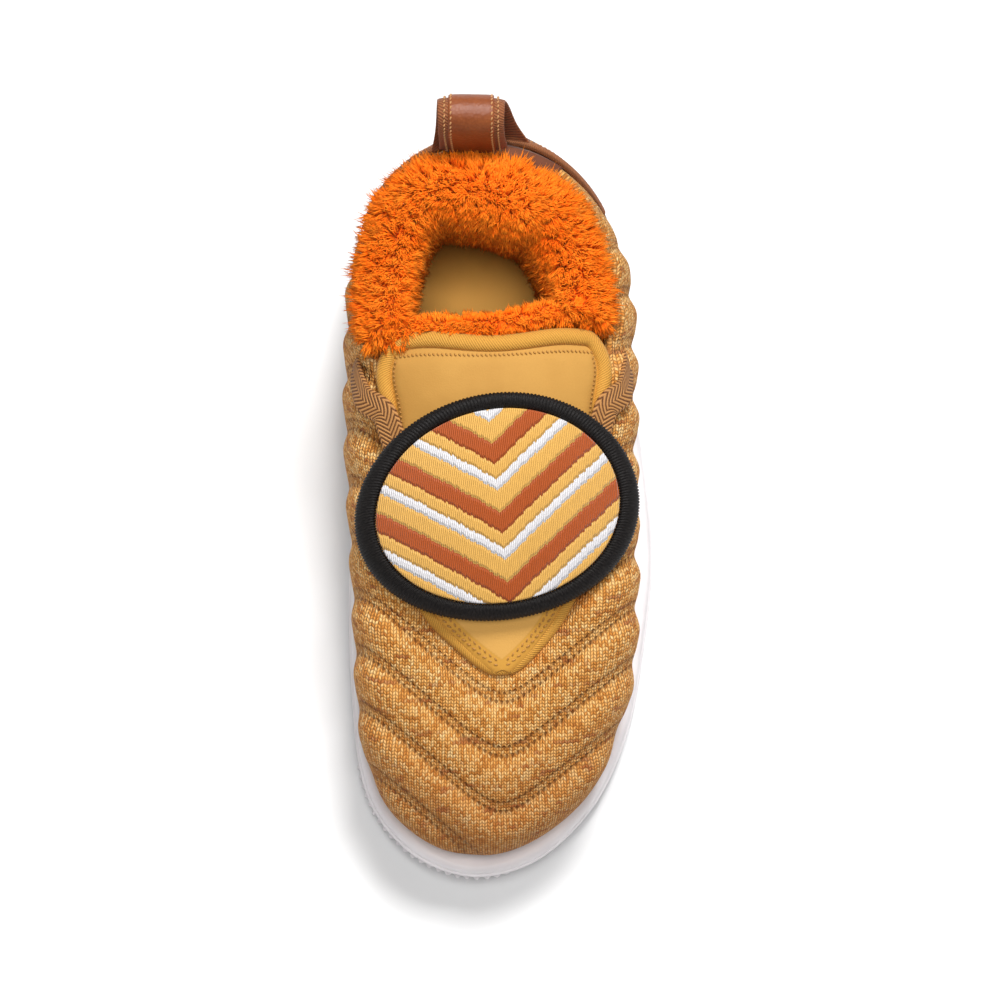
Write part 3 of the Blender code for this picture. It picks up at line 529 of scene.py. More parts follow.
def makeStudio():
    world = bpy.data.worlds.new("studio")
    world.use_nodes = True
    world.node_tree.nodes["Background"].inputs["Color"].default_value = (1, 1, 1, 1)
    world.node_tree.nodes["Background"].inputs["Strength"].default_value = studio["sky"]
    bpy.context.scene.world = world
    bpy.context.scene.view_settings.view_transform = "Standard"
    for name, place, side, watts in studio["lamps"]:
        data = bpy.data.lights.new(name, "AREA")
        data.energy, data.size = watts, side
        lamp = bpy.data.objects.new(name, data)
        lamp.location = place
        lamp.rotation_mode = "QUATERNION"
        lamp.rotation_quaternion = (Vector((0, 0, 0.03)) - Vector(place)).to_track_quat("-Z", "Y")
        bpy.context.scene.collection.objects.link(lamp)
    half = studio["floorSide"] / 2
    mesh = bpy.data.meshes.new("floor")
    corners = [(-half, -half, 0), (half, -half, 0), (half, half, 0), (-half, half, 0)]
    mesh.from_pydata(corners, [], [(0, 1, 2, 3)])
    paper, _ = newMaterial("floorPaper", Base_Color=studio["floor"], Roughness=0.9, Specular_IOR_Level=0.1)
    mesh.materials.append(paper)
    floor = bpy.data.objects.new("floor", mesh)
    bpy.context.scene.collection.objects.link(floor)


makeCamera()
makeStudio()
print("camera, light and floor are set")


# Knit upper: columns of V-shaped stitches in marled gold yarn, with rows of small holes beside the ridges

knit = {
    "around": 520, "up": 104, "inside": 12,
    "wale": 1.15,  # width of a stitch
    "course": 0.70,  # height of a stitch
    "slant": 0.55,  # how far the legs of a V rise, in courses
    "holeRows": (0.415, 0.585),  # places of the hole rows within a ridge
    "holeRadius": 0.50,
    "valley": 0.16,  # painted shade: how much of the shade colour is mixed in at the bottom of a valley
    "tones": (
        (0.16, (0.34, 0.104, 0.015)), (0.29, (0.60, 0.225, 0.036)), (0.39, (0.80, 0.358, 0.079)),
        (0.49, (0.96, 0.520, 0.160)), (0.64, (1.0, 0.680, 0.300)),
    ),
    "yarnShare": 0.42, "cloudShare": 0.16, "grainShare": 0.29,  # what sets the tone of a stitch
    "rust": (0.38, 0.10, 0.028, 1), "toeShade": 0.42, "fleckSpan": (0.57, 0.69), "fleckShade": 0.75,
    "gapShade": 0.95, "holeShade": 0.65, "smudgeShade": 0.7, "relief": 0.30,
    # colour of the painted shade between the stitches, in the valleys and in the holes
    "gap": (0.150, 0.046, 0.007, 1),
    "smudge": (0.74, 0.19, 0.015, 1),
    "smudges": (  # stained places beside the throat: x, y, radius
        (-15.2, -29.5, 2.6), (-13.0, -33.0, 2.2), (5.8, -38.2, 2.6), (16.0, -27.5, 2.0),
    ),
}


def knitMaterial():
    material, tree = newMaterial("marledKnit", Roughness=0.85, Specular_IOR_Level=0.25)
    u, v = clothMap(tree)
    column = u / knit["wale"]
    side = abs(fraction(column) - 0.5)
    row = side * (-2 * knit["slant"]) + v / knit["course"]
    # each leg of a stitch is a rounded pad: one parabola across it times one along it
    acrossLeg = (side - 0.25) * 4.0
    alongLeg = (fraction(row) - 0.5) * 1.8
    padAcross = 1.0 - abs(acrossLeg) ** 2.0
    padAlong = 1.0 - abs(alongLeg) ** 2.0
    pad = padAcross * padAlong
    rowNumber = wholePart(row)
    legNumber = wholePart(column * 2.0)
    yarn = noise(vector(u * 0.42, rowNumber * 0.61), 1.0, 3.0, 0.6)
    cloud = noise(vector(u * 0.10, v * 0.24), 1.0, 2.0)
    grain = speckle(vector(legNumber, rowNumber))
    tone = yarn * knit["yarnShare"] + cloud * knit["cloudShare"]
    tone = grain * knit["grainShare"] + tone
    colour = tones(tone, knit["tones"])
    fleck = noise(vector(u * 0.20, rowNumber * 0.43, 7.0), 1.0, 2.0)
    colour = mixColour(span(fleck, *knit["fleckSpan"]) * knit["fleckShade"], colour, knit["rust"])
    colour = mixColour(onPoints(tree, "smudge"), colour, knit["smudge"])
    colour = mixColour(onPoints(tree, "toeShade"), colour, knit["rust"])
    # small holes, one for every column, in two rows along each valley
    ridge = fraction(onPoints(tree, "ridge"))
    holes = 0.0
    for number, place in enumerate(knit["holeRows"]):
        alongRow = fraction(column + 0.5 * number)
        dx = (alongRow - 0.5) * knit["wale"]
        dy = (ridge - place) * upperShape["ridgePitch"]
        away = squareRoot(dx ** 2.0 + dy ** 2.0)
        spot = span(away, knit["holeRadius"], 0.4 * knit["holeRadius"])
        holes = largest(spot, holes)
    holes = holes * onPoints(tree, "ridged")
    # painted shade along the bottom of each valley between ridges
    depth = abs(ridge - 0.5)
    shade = span(depth, 0.20, 0.04) * onPoints(tree, "ridged")
    colour = mixColour(shade * knit["valley"], colour, knit["gap"])
    # painted shade in the gaps between the legs of the stitches, full colour on the round of each leg
    light = largest(pad, 0.0) ** 0.5
    colour = mixColour(light, mixColour(knit["gapShade"], colour, knit["gap"]), colour)
    # the holes are painted as shade, and the bump dents them too
    colour = mixColour(holes * knit["holeShade"], colour, knit["gap"])
    return paint(material, colour, holes * -1.2 + pad, knit["relief"])


# Outer rows from the sole to the opening, a rolled rim, and inner rows back down: one closed loop of rows.
def makeKnitUpper():
    u = steps(knit["around"])[None, :]
    rise = np.linspace(0, 1, knit["up"])[:, None]
    bare = upperForm(u, rise)
    phase = ridgePhase(bare)
    fade = ridgeFade(u, rise)
    wave = 1 - np.exp(-((phase % 1 - 0.5) / 0.20) ** 2)
    ripple = 0.10 * np.sin(4 * pi * phase + 0.8)
    outer = bare + upperNormal(u, rise) * (upperShape["ridgeHeight"] * fade * (wave + ripple))[..., None]
    rim = offUpper(u, np.ones_like(u), -0.5 * upperShape["wall"]) + (0, 0, 0.8)
    down = np.linspace(1, 0, knit["inside"])[:, None]
    inner = offUpper(u, down, -upperShape["wall"])
    inner[-1, :, 2] = soleTop(inner[-1, :, 1]) + gap
    points = np.concatenate([outer, rim, inner])
    # the cloth map lays each column out flat from the opening's edge, in millimetres
    step = np.linalg.norm(np.diff(bare, axis=0), axis=-1)
    below = np.concatenate([np.cumsum(step[::-1], axis=0)[::-1], np.zeros_like(u)])
    away = unit(bare[knit["up"] // 4, :, :2] - bare[-1, :, :2])
    flat = bare[-1, :, :2] + away * below[..., None]
    rows = len(points) - len(flat)
    uv = np.concatenate([flat, flat[-1:] + np.linspace(0, 40, rows)[:, None, None]])
    smudge = np.zeros(bare.shape[:2])
    for x, y, radius in knit["smudges"]:
        away = (bare[..., 0] - x) ** 2 + (bare[..., 1] - y) ** 2
        smudge = np.maximum(smudge, np.exp(-away / radius ** 2))
    toe = knit["toeShade"] * ease((0.86 - rise) / 0.5) * np.exp(-((u - 0.5) / 0.11) ** 2)
    values = {"ridge": phase, "ridged": fade, "smudge": knit["smudgeShade"] * smudge, "toeShade": toe}
    extra = np.zeros((rows, knit["around"]))
    values = {key: np.concatenate([value, extra]) for key, value in values.items()}
    gridPiece("knitUpper", points, knitMaterial(), "ochre_knit", ["upper"], uv, values, closeRows=True)


makeKnitUpper()
print("knit upper is made")


# Sole: white foam cup on a white rubber tread with a ribbed toe

cup = {
    "around": 480, "up": 44, "lid": 10,
    "side": (  # from foot to rim: inset, share of the height
        (1.6, 0.00), (0.5, 0.10), (0.0, 0.34), (0.2, 0.50), (1.0, 0.55), (0.5, 0.62), (0.9, 0.88),
        (2.0, 1.00),
    ),
    "colour": (0.83, 0.79, 0.80),
    "shade": (0.74, 0.70, 0.715),
}

tread = {
    "around": 900, "up": 14, "lid": 22,
    "side": (  # from the floor up: inset, share of the height, share of the rib depth
        (2.0, 0.00, 0.0), (0.7, 0.22, 1.0), (0.5, 0.75, 1.0), (1.0, 1.00, 0.0),
    ),
    "ribPitch": 2.2, "ribDepth": 0.85, "ribSpan": (0.475, 0.61),
    "grooves": (-62.0, -54.0, -46.0, -38.0, -30.0, -22.0, 40.0, 50.0, 60.0, 69.0),
    "grooveWidth": 1.8, "grooveDepth": 1.3,
    "colour": (0.80, 0.76, 0.77),
    "shade": (0.70, 0.66, 0.68),
}


def mouldedMaterial(name, look, roughness):
    material, tree = newMaterial(name, Roughness=roughness, Specular_IOR_Level=0.4)
    place = objectPlace(tree)
    colour = tones(noise(place, 55.0, 3.0), ((0.35, look["shade"]), (0.6, look["colour"])))
    return paint(material, colour, noise(place, 1900.0), 0.06, 0.5)


# Rows that carry a ring in to the line halfway between its two sides, at heights that a function of the
# plan gives.
def lidRows(ring, count, height):
    opposite = np.roll(ring[::-1], 1, axis=0)
    spine = (ring[:, :2] + opposite[:, :2]) / 2
    share = np.linspace(0, 1, count + 1)[1:, None, None]
    plan = ring[None, :, :2] + (spine - ring[:, :2])[None] * share
    return withHeight(plan, height(plan))


# Profile of the side carried round the sole's outline, with a lid above and below.
def makeFoamCup():
    u = steps(cup["around"])[None, :]
    rise = np.linspace(0, 1, cup["up"])[:, None]
    inset, share = (smoothColumn(evenRows(cup["side"]), k, rise) for k in (1, 2))
    plan = solePlan(u, inset)
    foot = soleShape["outsoleThick"] + gap
    low = underside(plan[..., 1]) + foot
    side = withHeight(plan, low + share * (soleTop(plan[..., 1]) - low))
    top = lidRows(side[-1], cup["lid"], lambda p: soleTop(p[..., 1]))
    bottom = lidRows(side[0], cup["lid"], lambda p: underside(p[..., 1]) + foot)
    points = np.concatenate([bottom[::-1], side, top])
    gridPiece("foamCup", points, mouldedMaterial("whiteFoam", cup, 0.5), "white_foam", ["midsole"])


# Teeth round the toe edge: a cosine along the ring, faded in at both ends.
def toeRibs(u):
    start, end = tread["ribSpan"]
    fade = np.clip((u - start) / 0.01, 0, 1) * np.clip((end - u) / 0.01, 0, 1)
    turn = 2 * pi * u * soleRing["length"] / tread["ribPitch"]
    return tread["ribDepth"] * fade * (0.5 - 0.5 * np.cos(turn))


# Depth of the straight grooves under the foot, with softened edges.
def grooveDepth(y):
    away = np.min(np.abs(y[..., None] - np.array(tread["grooves"])), axis=-1)
    return tread["grooveDepth"] * ease((tread["grooveWidth"] / 2 + 0.2 - away) / 0.4)


# As the cup, with teeth added to the outline at the toe and grooves cut into the underside.
def makeTread():
    u = steps(tread["around"])[None, :]
    rise = np.linspace(0, 1, tread["up"])[:, None]
    inset, share, rib = (smoothColumn(evenRows(tread["side"]), k, rise) for k in (1, 2, 3))
    plan = solePlan(u, inset - np.clip(rib, 0, 1) * toeRibs(u))
    low = underside(plan[..., 1])
    height = np.maximum(share * soleShape["outsoleThick"], grooveDepth(plan[..., 1]) * (share < 0.4))
    side = withHeight(plan, low + height)
    bottom = lidRows(side[0], tread["lid"], lambda p: underside(p[..., 1]) + grooveDepth(p[..., 1]))
    top = lidRows(side[-1], 6, lambda p: underside(p[..., 1]) + soleShape["outsoleThick"])
    points = np.concatenate([bottom[::-1], side, top])
    gridPiece("rubberTread", points, mouldedMaterial("whiteRubber", tread, 0.55), "white_rubber", ["outsole"])


makeFoamCup()
makeTread()
print("sole is made")


# Tongue: padded yellow panel in the throat, with a bound edge and rows of stitching

tongue = {
    "thick": 2.4, "edge": 0.8, "overlap": 2.6, "tipPlace": 0.004, "topPlace": 0.293, "dip": 1.8,
    "arch": (  # share of its length, crown, half width kept
        (0.00, 0.5, 1.0), (0.20, 2.6, 1.0), (0.45, 5.0, 1.0), (0.68, 6.6, 0.97), (0.84, 7.8, 0.90),
        (0.95, 8.4, 0.85), (1.00, 8.6, 0.74),
    ),
    "along": 120, "across": 84,
    # low is a lighter colour, painted light for the panel's tip below the patch
    "colour": (0.50, 0.262, 0.060), "worn": (0.43, 0.215, 0.045), "low": (0.67, 0.360, 0.089),
    "bindingColour": (0.63, 0.315, 0.052), "bindingShade": (0.40, 0.180, 0.026),
    "topRadius": 1.75, "sideRadius": 1.45, "rimWidth": 4.4, "upperRim": 1.8,
    "threadColour": (0.46, 0.21, 0.035, 1),
    "rows": (  # distance from the edge, start, end, slant, then pitch and size of a stitch
        (2.4, 0.0, 0.5, 0.4, (1.35, 1.15, 0.56, 0.34)), (3.7, 0.0, 0.5, -0.4, (1.35, 1.15, 0.56, 0.34)),
        (2.5, 0.55, 0.95, 1.1, (0.9, 0.8, 0.34, 0.2)),
    ),
}


# Length of the knit up the side of the opening for each step of v.
def openingSpan(u):
    return np.linalg.norm(upperForm(u, 1.0) - upperForm(u, 0.9), axis=-1) / 0.1


# Distance from the opening's tip along its ring at a share t of the tongue's length.
def tongueReach(t):
    return tongue["tipPlace"] + (tongue["topPlace"] - tongue["tipPlace"]) * t


# Lower face of the tongue: t from the throat's tip to its top, s across from the inner to the outer edge.
# A chord between two points on the knit beside the throat, raised by a parabola.
def tongueForm(t, s):
    t, s = pair(t, s)
    inner, outer = (offUpper(u, 1 - tongue["overlap"] / openingSpan(u), gap)
                    for u in (0.5 + tongueReach(t), 0.5 - tongueReach(t)))
    keep = smoothColumn(tongue["arch"], 2, t)
    place = inner + (outer - inner) * (0.5 + 0.5 * s * keep)[..., None]
    dip = tongue["dip"] * np.clip((t - 0.8) / 0.2, 0, 1) ** 2 * np.clip(1 - 1.6 * s ** 2, 0, 1) ** 2
    place[..., 2] += smoothColumn(tongue["arch"], 1, t) * (1 - (s * keep) ** 2)
    place[..., 1] -= dip
    return place


# Half the tongue's width, along its surface's chord.
def tongueHalf(t):
    return np.linalg.norm(tongueForm(t, 1.0) - tongueForm(t, 0.0), axis=-1)


# Outward direction of the tongue: cross product of its slopes across and along.
def tongueNormal(t, s, nudge=0.01):
    t, s = pair(t, s)
    along = tongueForm(np.clip(t + nudge, 0, 1), s) - tongueForm(np.clip(t - nudge, 0, 1), s)
    return unit(np.cross(tongueForm(t, s + nudge) - tongueForm(t, s - nudge), along))


# Tongue's lower face moved out along its normal.
def offTongue(t, s, distance):
    t, s = pair(t, s)
    return tongueForm(t, s) + tongueNormal(t, s) * np.broadcast_to(distance, t.shape)[..., None]


# Points spaced evenly along a line, with what else is known at each point.
def evenly(line, count, *others, closed=False):
    loop = np.vstack([line, line[:1]]) if closed else line
    along = runLength(loop)
    at = np.linspace(0, along[-1], count, endpoint=not closed)
    made = []
    for table in (line, *others):
        table = np.vstack([table, table[:1]]) if closed else table
        made.append(np.stack([np.interp(at, along, axis) for axis in table.T], axis=-1))
    return (*made, along[-1])


# Each point of a line averaged with its neighbours by a row of weights.
def blurred(line, weights, ends):
    weights = weights / weights.sum()
    half = len(weights) // 2
    return np.stack([np.convolve(np.pad(axis, half, ends), weights, "valid") for axis in line.T], axis=-1)


# Directions along a line, sideways on its surface and off it, by cross products.
def lineFrame(line, normals, closed=False):
    if closed:
        run = unit(np.roll(line, -1, axis=0) - np.roll(line, 1, axis=0))
    else:
        run = unit(np.gradient(line, axis=0))
    side = unit(np.cross(run, normals))
    return run, side, unit(np.cross(side, run))


# Profile carried along a line: an oval, wide along the surface and high off it, squared by powers below 1.
def tubeGrid(line, normals, wide, high, sides, closed=False, powers=(1, 1)):
    _, side, up = lineFrame(line, normals, closed)
    turn = 2 * pi * steps(sides)
    waves = zip((np.cos(turn), np.sin(turn)), powers)
    out, off = (np.sign(wave) * np.abs(wave) ** power for wave, power in waves)
    grid = line[:, None] + side[:, None] * (out * wide)[..., None] + up[:, None] * (off * high)[..., None]
    return grid, out


# One stitch is a spindle: three rings of six points between two end points, laid at each place on a line.
spindleTurn = 2 * pi * steps(6)
spindlePoints = np.vstack([(-1, 0, 0)] + [
    np.column_stack([np.full(6, x), size * np.cos(spindleTurn), size * np.sin(spindleTurn)])
    for x, size in ((-0.7, 0.75), (0.0, 1.0), (0.7, 0.75))
] + [(1, 0, 0)])


# Triangles between two rings of a strand or stitch, from the numbers of their first points.
def bandFaces(first, second, count):
    i = np.arange(count)
    j = (i + 1) % count
    corners = (first + i, first + j, second + j), (first + i, second + j, second + i)
    return [np.stack(three, axis=-1) for three in corners]


# Triangles from a ring to an end point.
def endFaces(first, end, count):
    i = np.arange(count)
    return [np.stack([first + i, first + (i + 1) % count, 0 * i + end], axis=-1)]


spindleFaces = np.concatenate([endFaces(1, 0, 6)[0][:, [2, 1, 0]]] + endFaces(13, 19, 6)
                              + bandFaces(1, 7, 6) + bandFaces(7, 13, 6))


# Spindles at even steps along a line, turned by the slant.
def stitches(line, normals, pitch, length, width, height, slant=0.0, closed=False):
    total = evenly(line, 2, closed=closed)[-1]
    count = max(int(total / pitch), 2)
    centre, normals, _ = evenly(line, count, normals, closed=closed)
    run, side, up = lineFrame(centre, normals, closed)
    lay = unit(run + side * slant)
    cross = np.cross(up, lay)
    local = spindlePoints * (length / 2, width / 2, height)
    axes = np.stack([lay, cross, up], axis=1)
    points = centre[:, None] + local @ axes
    faces = spindleFaces + (len(local) * np.arange(count))[:, None, None]
    return points.reshape(-1, 3), faces.reshape(-1, 3)


# Sets of points and faces put together as one.
def joined(parts):
    points, faces, first = [], [], 0
    for some, corners in parts:
        points.append(some.reshape(-1, 3))
        faces.append(corners + first)
        first += len(points[-1])
    return np.concatenate(points), np.concatenate(faces)


# Felted cloth: clouded colour under a fine nap, with other colours where point values ask for them.
def feltedMaterial(name, look, roughness=0.75):
    material, tree = newMaterial(name, Roughness=roughness, Specular_IOR_Level=0.2, Sheen_Weight=0.06,
                                 Sheen_Roughness=0.4)
    place = objectPlace(tree)
    cloud = noise(place, 70.0, 3.0, 0.55)
    colour = tones(cloud, ((0.3, look["worn"]), (0.62, look["colour"])))
    nap = noise(place, 2600.0, 2.0, 0.6)
    colour = mixColour(nap * 0.28, colour, (*look["worn"], 1))
    # low carries painted light where a piece gives it; rim carries the binding's colour
    for key in ("low", "rim"):
        if key in look:
            colour = mixColour(onPoints(tree, key), colour, (*look[key], 1))
    return paint(material, colour, nap, 0.09, 0.6)


# Twill tape: fine slanted ribs along its length, read from the cloth map.
def tapeMaterial(name, colour, shade, rib=0.55, roughness=0.7):
    material, tree = newMaterial(name, Roughness=roughness, Specular_IOR_Level=0.2, Sheen_Weight=0.05,
                                 Sheen_Roughness=0.5)
    u, v = clothMap(tree)
    line = fraction((v * 0.6 + u) / rib)
    ribs = 1.0 - abs(line * 2.0 - 1.0)
    fibre = noise(vector(u, v), 2.4, 3.0, 0.6)
    tone = ribs * 0.6 + fibre * 0.5
    return paint(material, tones(tone, ((0.2, shade), (0.75, colour))), tone, 0.16)


# Thread: fine fibres in two tones.
def threadMaterial(name, colour, roughness=0.55):
    material, tree = newMaterial(name, Roughness=roughness)
    place = objectPlace(tree)
    fibre = noise(place, 3200.0, 2.0)
    dark = tuple(0.6 * channel for channel in colour[:3])
    return paint(material, tones(fibre, ((0.3, dark), (0.6, colour[:3]))), fibre, 0.08, 0.7)


# Panel thinned towards its edge, an oval binding along the edge, and rows of stitches.
def makeTongue():
    t = np.linspace(0, 1, tongue["along"])[:, None]
    s = np.linspace(-1, 1, tongue["across"])[None, :]
    fromEdge = np.minimum((1 - np.abs(s)) / 0.16, (1 - t) / 0.07)
    pad = 0.5 + 0.5 * ease(fromEdge)  # the panel is thinnest where it is sewn into its edge
    outer = offTongue(t, s, tongue["thick"] * pad + 0.25 * ease(fromEdge / 3))
    inner = offTongue(t, s, 0.0)
    halfWidth = tongueHalf(t)
    rimWidth = tongue["rimWidth"] + (tongue["upperRim"] - tongue["rimWidth"]) * ease((t - 0.45) / 0.15)
    rim = 1 - ease(((1 - np.abs(s)) * halfWidth - rimWidth) / 0.4)
    low = (1 - ease((t - 0.40) / 0.12)) * (1 - rim)  # painted light: the tip below the patch is painted lighter to make up for the patch's shade
    look = {key: tongue[key] for key in ("colour", "worn", "low")}
    look["rim"] = tongue["bindingColour"]
    panel = sheetPiece("tonguePanel", outer, inner, feltedMaterial("bondedYellow", look), "yellow_padding",
                       ["tongue"], {"rim": rim, "low": low})
    # the bound edge runs up the outer side of the V, across the top and down the inner side
    up = np.linspace(0, 1, 90)
    over = np.linspace(1, -1, 70)[1:-1]
    under = np.linspace(-1, 1, 9)[1:-1]
    edgeT = np.concatenate([up, np.ones_like(over), up[::-1], np.zeros_like(under)])
    edgeS = np.concatenate([np.ones_like(up), over, -np.ones_like(up), under])
    line, normals = offTongue(edgeT, edgeS, 0.62 * tongue["thick"]), tongueNormal(edgeT, edgeS)
    line, normals, high, length = evenly(line, 540, normals, edgeT[:, None], closed=True)
    line = blurred(line, np.ones(9), "wrap")
    radius = tongue["sideRadius"] + (tongue["topRadius"] - tongue["sideRadius"]) * ease((high - 0.72) / 0.2)
    sides = 20
    grid, _ = tubeGrid(line, normals, radius, 0.86 * radius, sides, closed=True)
    uv = mapOf(np.linspace(0, length, len(line))[:, None], 2 * pi * steps(sides) * radius)
    tape = tapeMaterial("goldBinding", tongue["bindingColour"], tongue["bindingShade"])
    gridPiece("tongueBinding", grid, tape, "yellow_padding", uv=uv, closeRows=True)
    # two rows of stitching inside the V, and one saw-tooth row along the sides and the top above the patch
    rows = []
    halfWidth = tongueHalf(up)
    for inset, low, high, slant, size in tongue["rows"]:
        share = 1 - inset / np.maximum(halfWidth, inset + 0.1)
        use = (halfWidth > inset + 0.8) & (up >= low) & (up <= high)
        for side in (1, -1):
            at = up[use], side * share[use]
            row = offTongue(*at, tongue["thick"] + 0.12)
            rows.append(stitches(row, tongueNormal(*at), *size, side * slant))
    at = 0.958, np.linspace(0.9, -0.9, 80)
    rows.append(stitches(offTongue(*at, tongue["thick"] * 0.95), tongueNormal(*at), *size, slant))
    thread = threadMaterial("goldThread", tongue["threadColour"])
    newPiece("tongueStitching", *joined(rows), thread, "yellow_padding")


makeTongue()
print("tongue is made")


# Patch: bent oval badge with stitched chevrons and a thick overlocked border

patch = {
    "halfWidth": 25.4, "halfLength": 18.9, "middle": (-2.2, -11.2), "turn": math.radians(8), "bend": 48.0,
    "thick": 1.6, "sag": 0.6, "rings": 60, "around": 220,
    "chevronSlope": 0.72, "period": 13.6,
    "bands": (  # start within the period, colour
        (0.00, (0.455, 0.088, 0.014)), (0.30, (0.80, 0.44, 0.100)), (0.62, (0.80, 0.775, 0.79)),
        (0.78, (0.80, 0.44, 0.100)),
    ),
    "thread": 0.40,  # width of one stitched thread
}

border = {
    "width": 3.3, "height": 2.8, "wraps": 236, "perWrap": 5, "sides": 18, "ridge": 0.075, "slant": 0.9,
    "colour": (0.004, 0.003, 0.003), "shine": (0.022, 0.018, 0.016),
}

strap = {
    "width": 6.0, "thick": 1.1, "start": 0.82, "end": (0.66, 0.86),
    "onKnit": (  # from its sewn end: share of the tongue's length, distance from its edge, rise
        (1.04, 7.8, -0.4), (1.00, 6.3, 0.6), (0.95, 4.4, 1.3), (0.88, 1.9, 3.2),
    ),
    "colour": (0.50, 0.235, 0.074), "shade": (0.085, 0.024, 0.006),
    "chevron": 2.4, "rib": 1.05,
}


# Oval's underside as in the solid: fitted to tongue and straps as a curve along the foot, bent down at both
# sides. Gives the curve's level, slope and bow.
def patchSheet():
    t, s = np.linspace(0.06, 0.95, 46)[:, None], np.linspace(-0.98, 0.98, 41)[None, :]
    strapped = (t > strap["end"][0] - 0.06) & (np.abs(s) > strap["end"][1] - 0.16)
    stack = tongue["thick"] + gap + (strap["thick"] + 1.5 * gap) * strapped
    stack = stack + tongue["edge"] * (np.abs(s) > 0.75)
    over = offTongue(t, s, stack)
    x, y = over[..., 0] - patch["middle"][0], over[..., 1] - patch["middle"][1]
    wide, long = patch["halfWidth"] + border["width"], patch["halfLength"] + border["width"]
    covered = (x / wide) ** 2 + (y / long) ** 2 < 1.05
    x, y, bent = x[covered], y[covered], (over[..., 2] + x ** 2 / (2 * patch["bend"]))[covered]
    terms = np.stack([np.ones_like(y), y, y ** 2], axis=-1)
    level, slope, bow = fitted = np.linalg.lstsq(terms, bent, rcond=None)[0]
    return level + np.max(bent - terms @ fitted) + patch["sag"], slope, bow


patchTerms = patchSheet()


# Point of the badge: a turned ellipse, on a parabola along the foot less one across it.
def patchPoint(angle, share, rise):
    level, slope, bow = patchTerms
    flatX, flatY = patch["halfWidth"] * share * np.cos(angle), patch["halfLength"] * share * np.sin(angle)
    x = flatX * math.cos(patch["turn"]) - flatY * math.sin(patch["turn"])
    y = flatX * math.sin(patch["turn"]) + flatY * math.cos(patch["turn"])
    z = level + slope * y + bow * y ** 2 - x ** 2 / (2 * patch["bend"]) + rise
    return np.stack([x + patch["middle"][0], y + patch["middle"][1], z], axis=-1)


def patchMaterial():
    material, tree = newMaterial("satinStitch", Roughness=0.5, Specular_IOR_Level=0.4, Sheen_Weight=0.2,
                                 Sheen_Roughness=0.35)
    u, v = clothMap(tree)
    thread = u / patch["thread"]
    number = wholePart(thread)
    ragged = (speckle(vector(number, 3.0)) - 0.5) * 0.45
    arm = abs(u) * -patch["chevronSlope"] + v + ragged
    place = fraction((arm + 60.0) / patch["period"])
    bands = tones(place, patch["bands"], "CONSTANT")
    # each band is a padded row of threads: low at its edges, a small round on every thread
    edge = 1.0
    for start, _ in patch["bands"] + ((1.0, None),):
        away = abs(place - start) * patch["period"]
        edge = smallest(span(away, 0.0, 0.7), edge)
    across = abs(fraction(thread) * 2.0 - 1.0)
    rounded = 1.0 - across ** 2.0
    step = noise(vector(number * 0.71, v * 0.55), 1.0, 2.0)
    height = edge * 0.9 + rounded * 0.5
    shadeOf = rounded * 0.28 + step * 0.45 + 0.38
    light = shadeOf * (edge * 0.25 + 0.75)
    colour = mixColour(1.0, bands, light, "MULTIPLY")
    return paint(material, mixColour(0.45, colour, bands), height, 0.26)


def borderMaterial():
    material, tree = newMaterial("blackOverlock", Roughness=0.55, Specular_IOR_Level=0.22)
    u, v = clothMap(tree)
    fibre = noise(vector(u * 7.0, v * 1.6), 1.0, 3.0, 0.6)
    return paint(material, tones(fibre, ((0.45, border["colour"]), (0.75, border["shine"]))), fibre, 0.16)


# Rings of the ellipse from the middle out and back underneath, and the border round them.
def makePatch():
    angle = 2 * pi * steps(patch["around"])[None, :]
    share = np.linspace(0, 1, patch["rings"])[:, None]
    top = patchPoint(angle, share, patch["thick"] + 0 * angle)
    under = patchPoint(angle, share[::-1], 0 * angle)
    flat = mapOf(patch["halfWidth"] * share * np.cos(angle), patch["halfLength"] * share * np.sin(angle))
    uv = np.concatenate([flat, flat[::-1]])
    gridPiece("stitchedPatch", np.concatenate([top, under]), patchMaterial(), "stitched_badge", ["patch"], uv)
    # overlocked border: an oval profile round the edge, swollen by every wrap of thread
    count = border["wraps"] * border["perWrap"]
    angle, turn = 2 * pi * steps(count)[:, None], 2 * pi * steps(border["sides"])[None, :]
    swell = 1 + border["ridge"] * np.cos(border["wraps"] * angle + 6 * border["slant"] * np.sin(turn / 2))
    radius = 0.5 * (patch["halfLength"] + patch["halfWidth"])
    first, wide = 1 + gap / patch["halfLength"], border["width"] / radius
    ring = patchPoint(angle, first + wide * (0.5 + 0.56 * swell * np.cos(turn)),
                      patch["thick"] / 2 + border["height"] * 0.5 * swell * np.sin(turn))
    uv = mapOf(angle * radius, 1.6 * np.minimum(turn, 2 * pi - turn))
    gridPiece("patchBorder", ring, borderMaterial(), "black_thread", ["patch_border"], uv, closeRows=True)


# Middle line of a strap: from the knit beside the collar over the tongue's edge to under the patch.
def strapLine(side):
    run = np.linspace(0, 1, 7)
    t = strap["start"] + (strap["end"][0] - strap["start"]) * run
    s = side * (1.0 + (strap["end"][1] - 1.0) * run)
    height = tongue["thick"] + tongue["edge"] + 2 * gap
    share, away, rise = np.asarray(strap["onKnit"]).T
    u = 0.5 - side * tongueReach(share)
    v = 1 - (tongue["overlap"] + away) / openingSpan(u)
    line = np.vstack([offUpper(u, v, rise), offTongue(t, s, height)])
    normals = np.vstack([upperNormal(u, v), tongueNormal(t, s)])
    line, normals, length = evenly(line, 90, normals)
    weights = np.hanning(17)
    return blurred(line, weights, "edge"), unit(blurred(normals, weights, "edge")), length


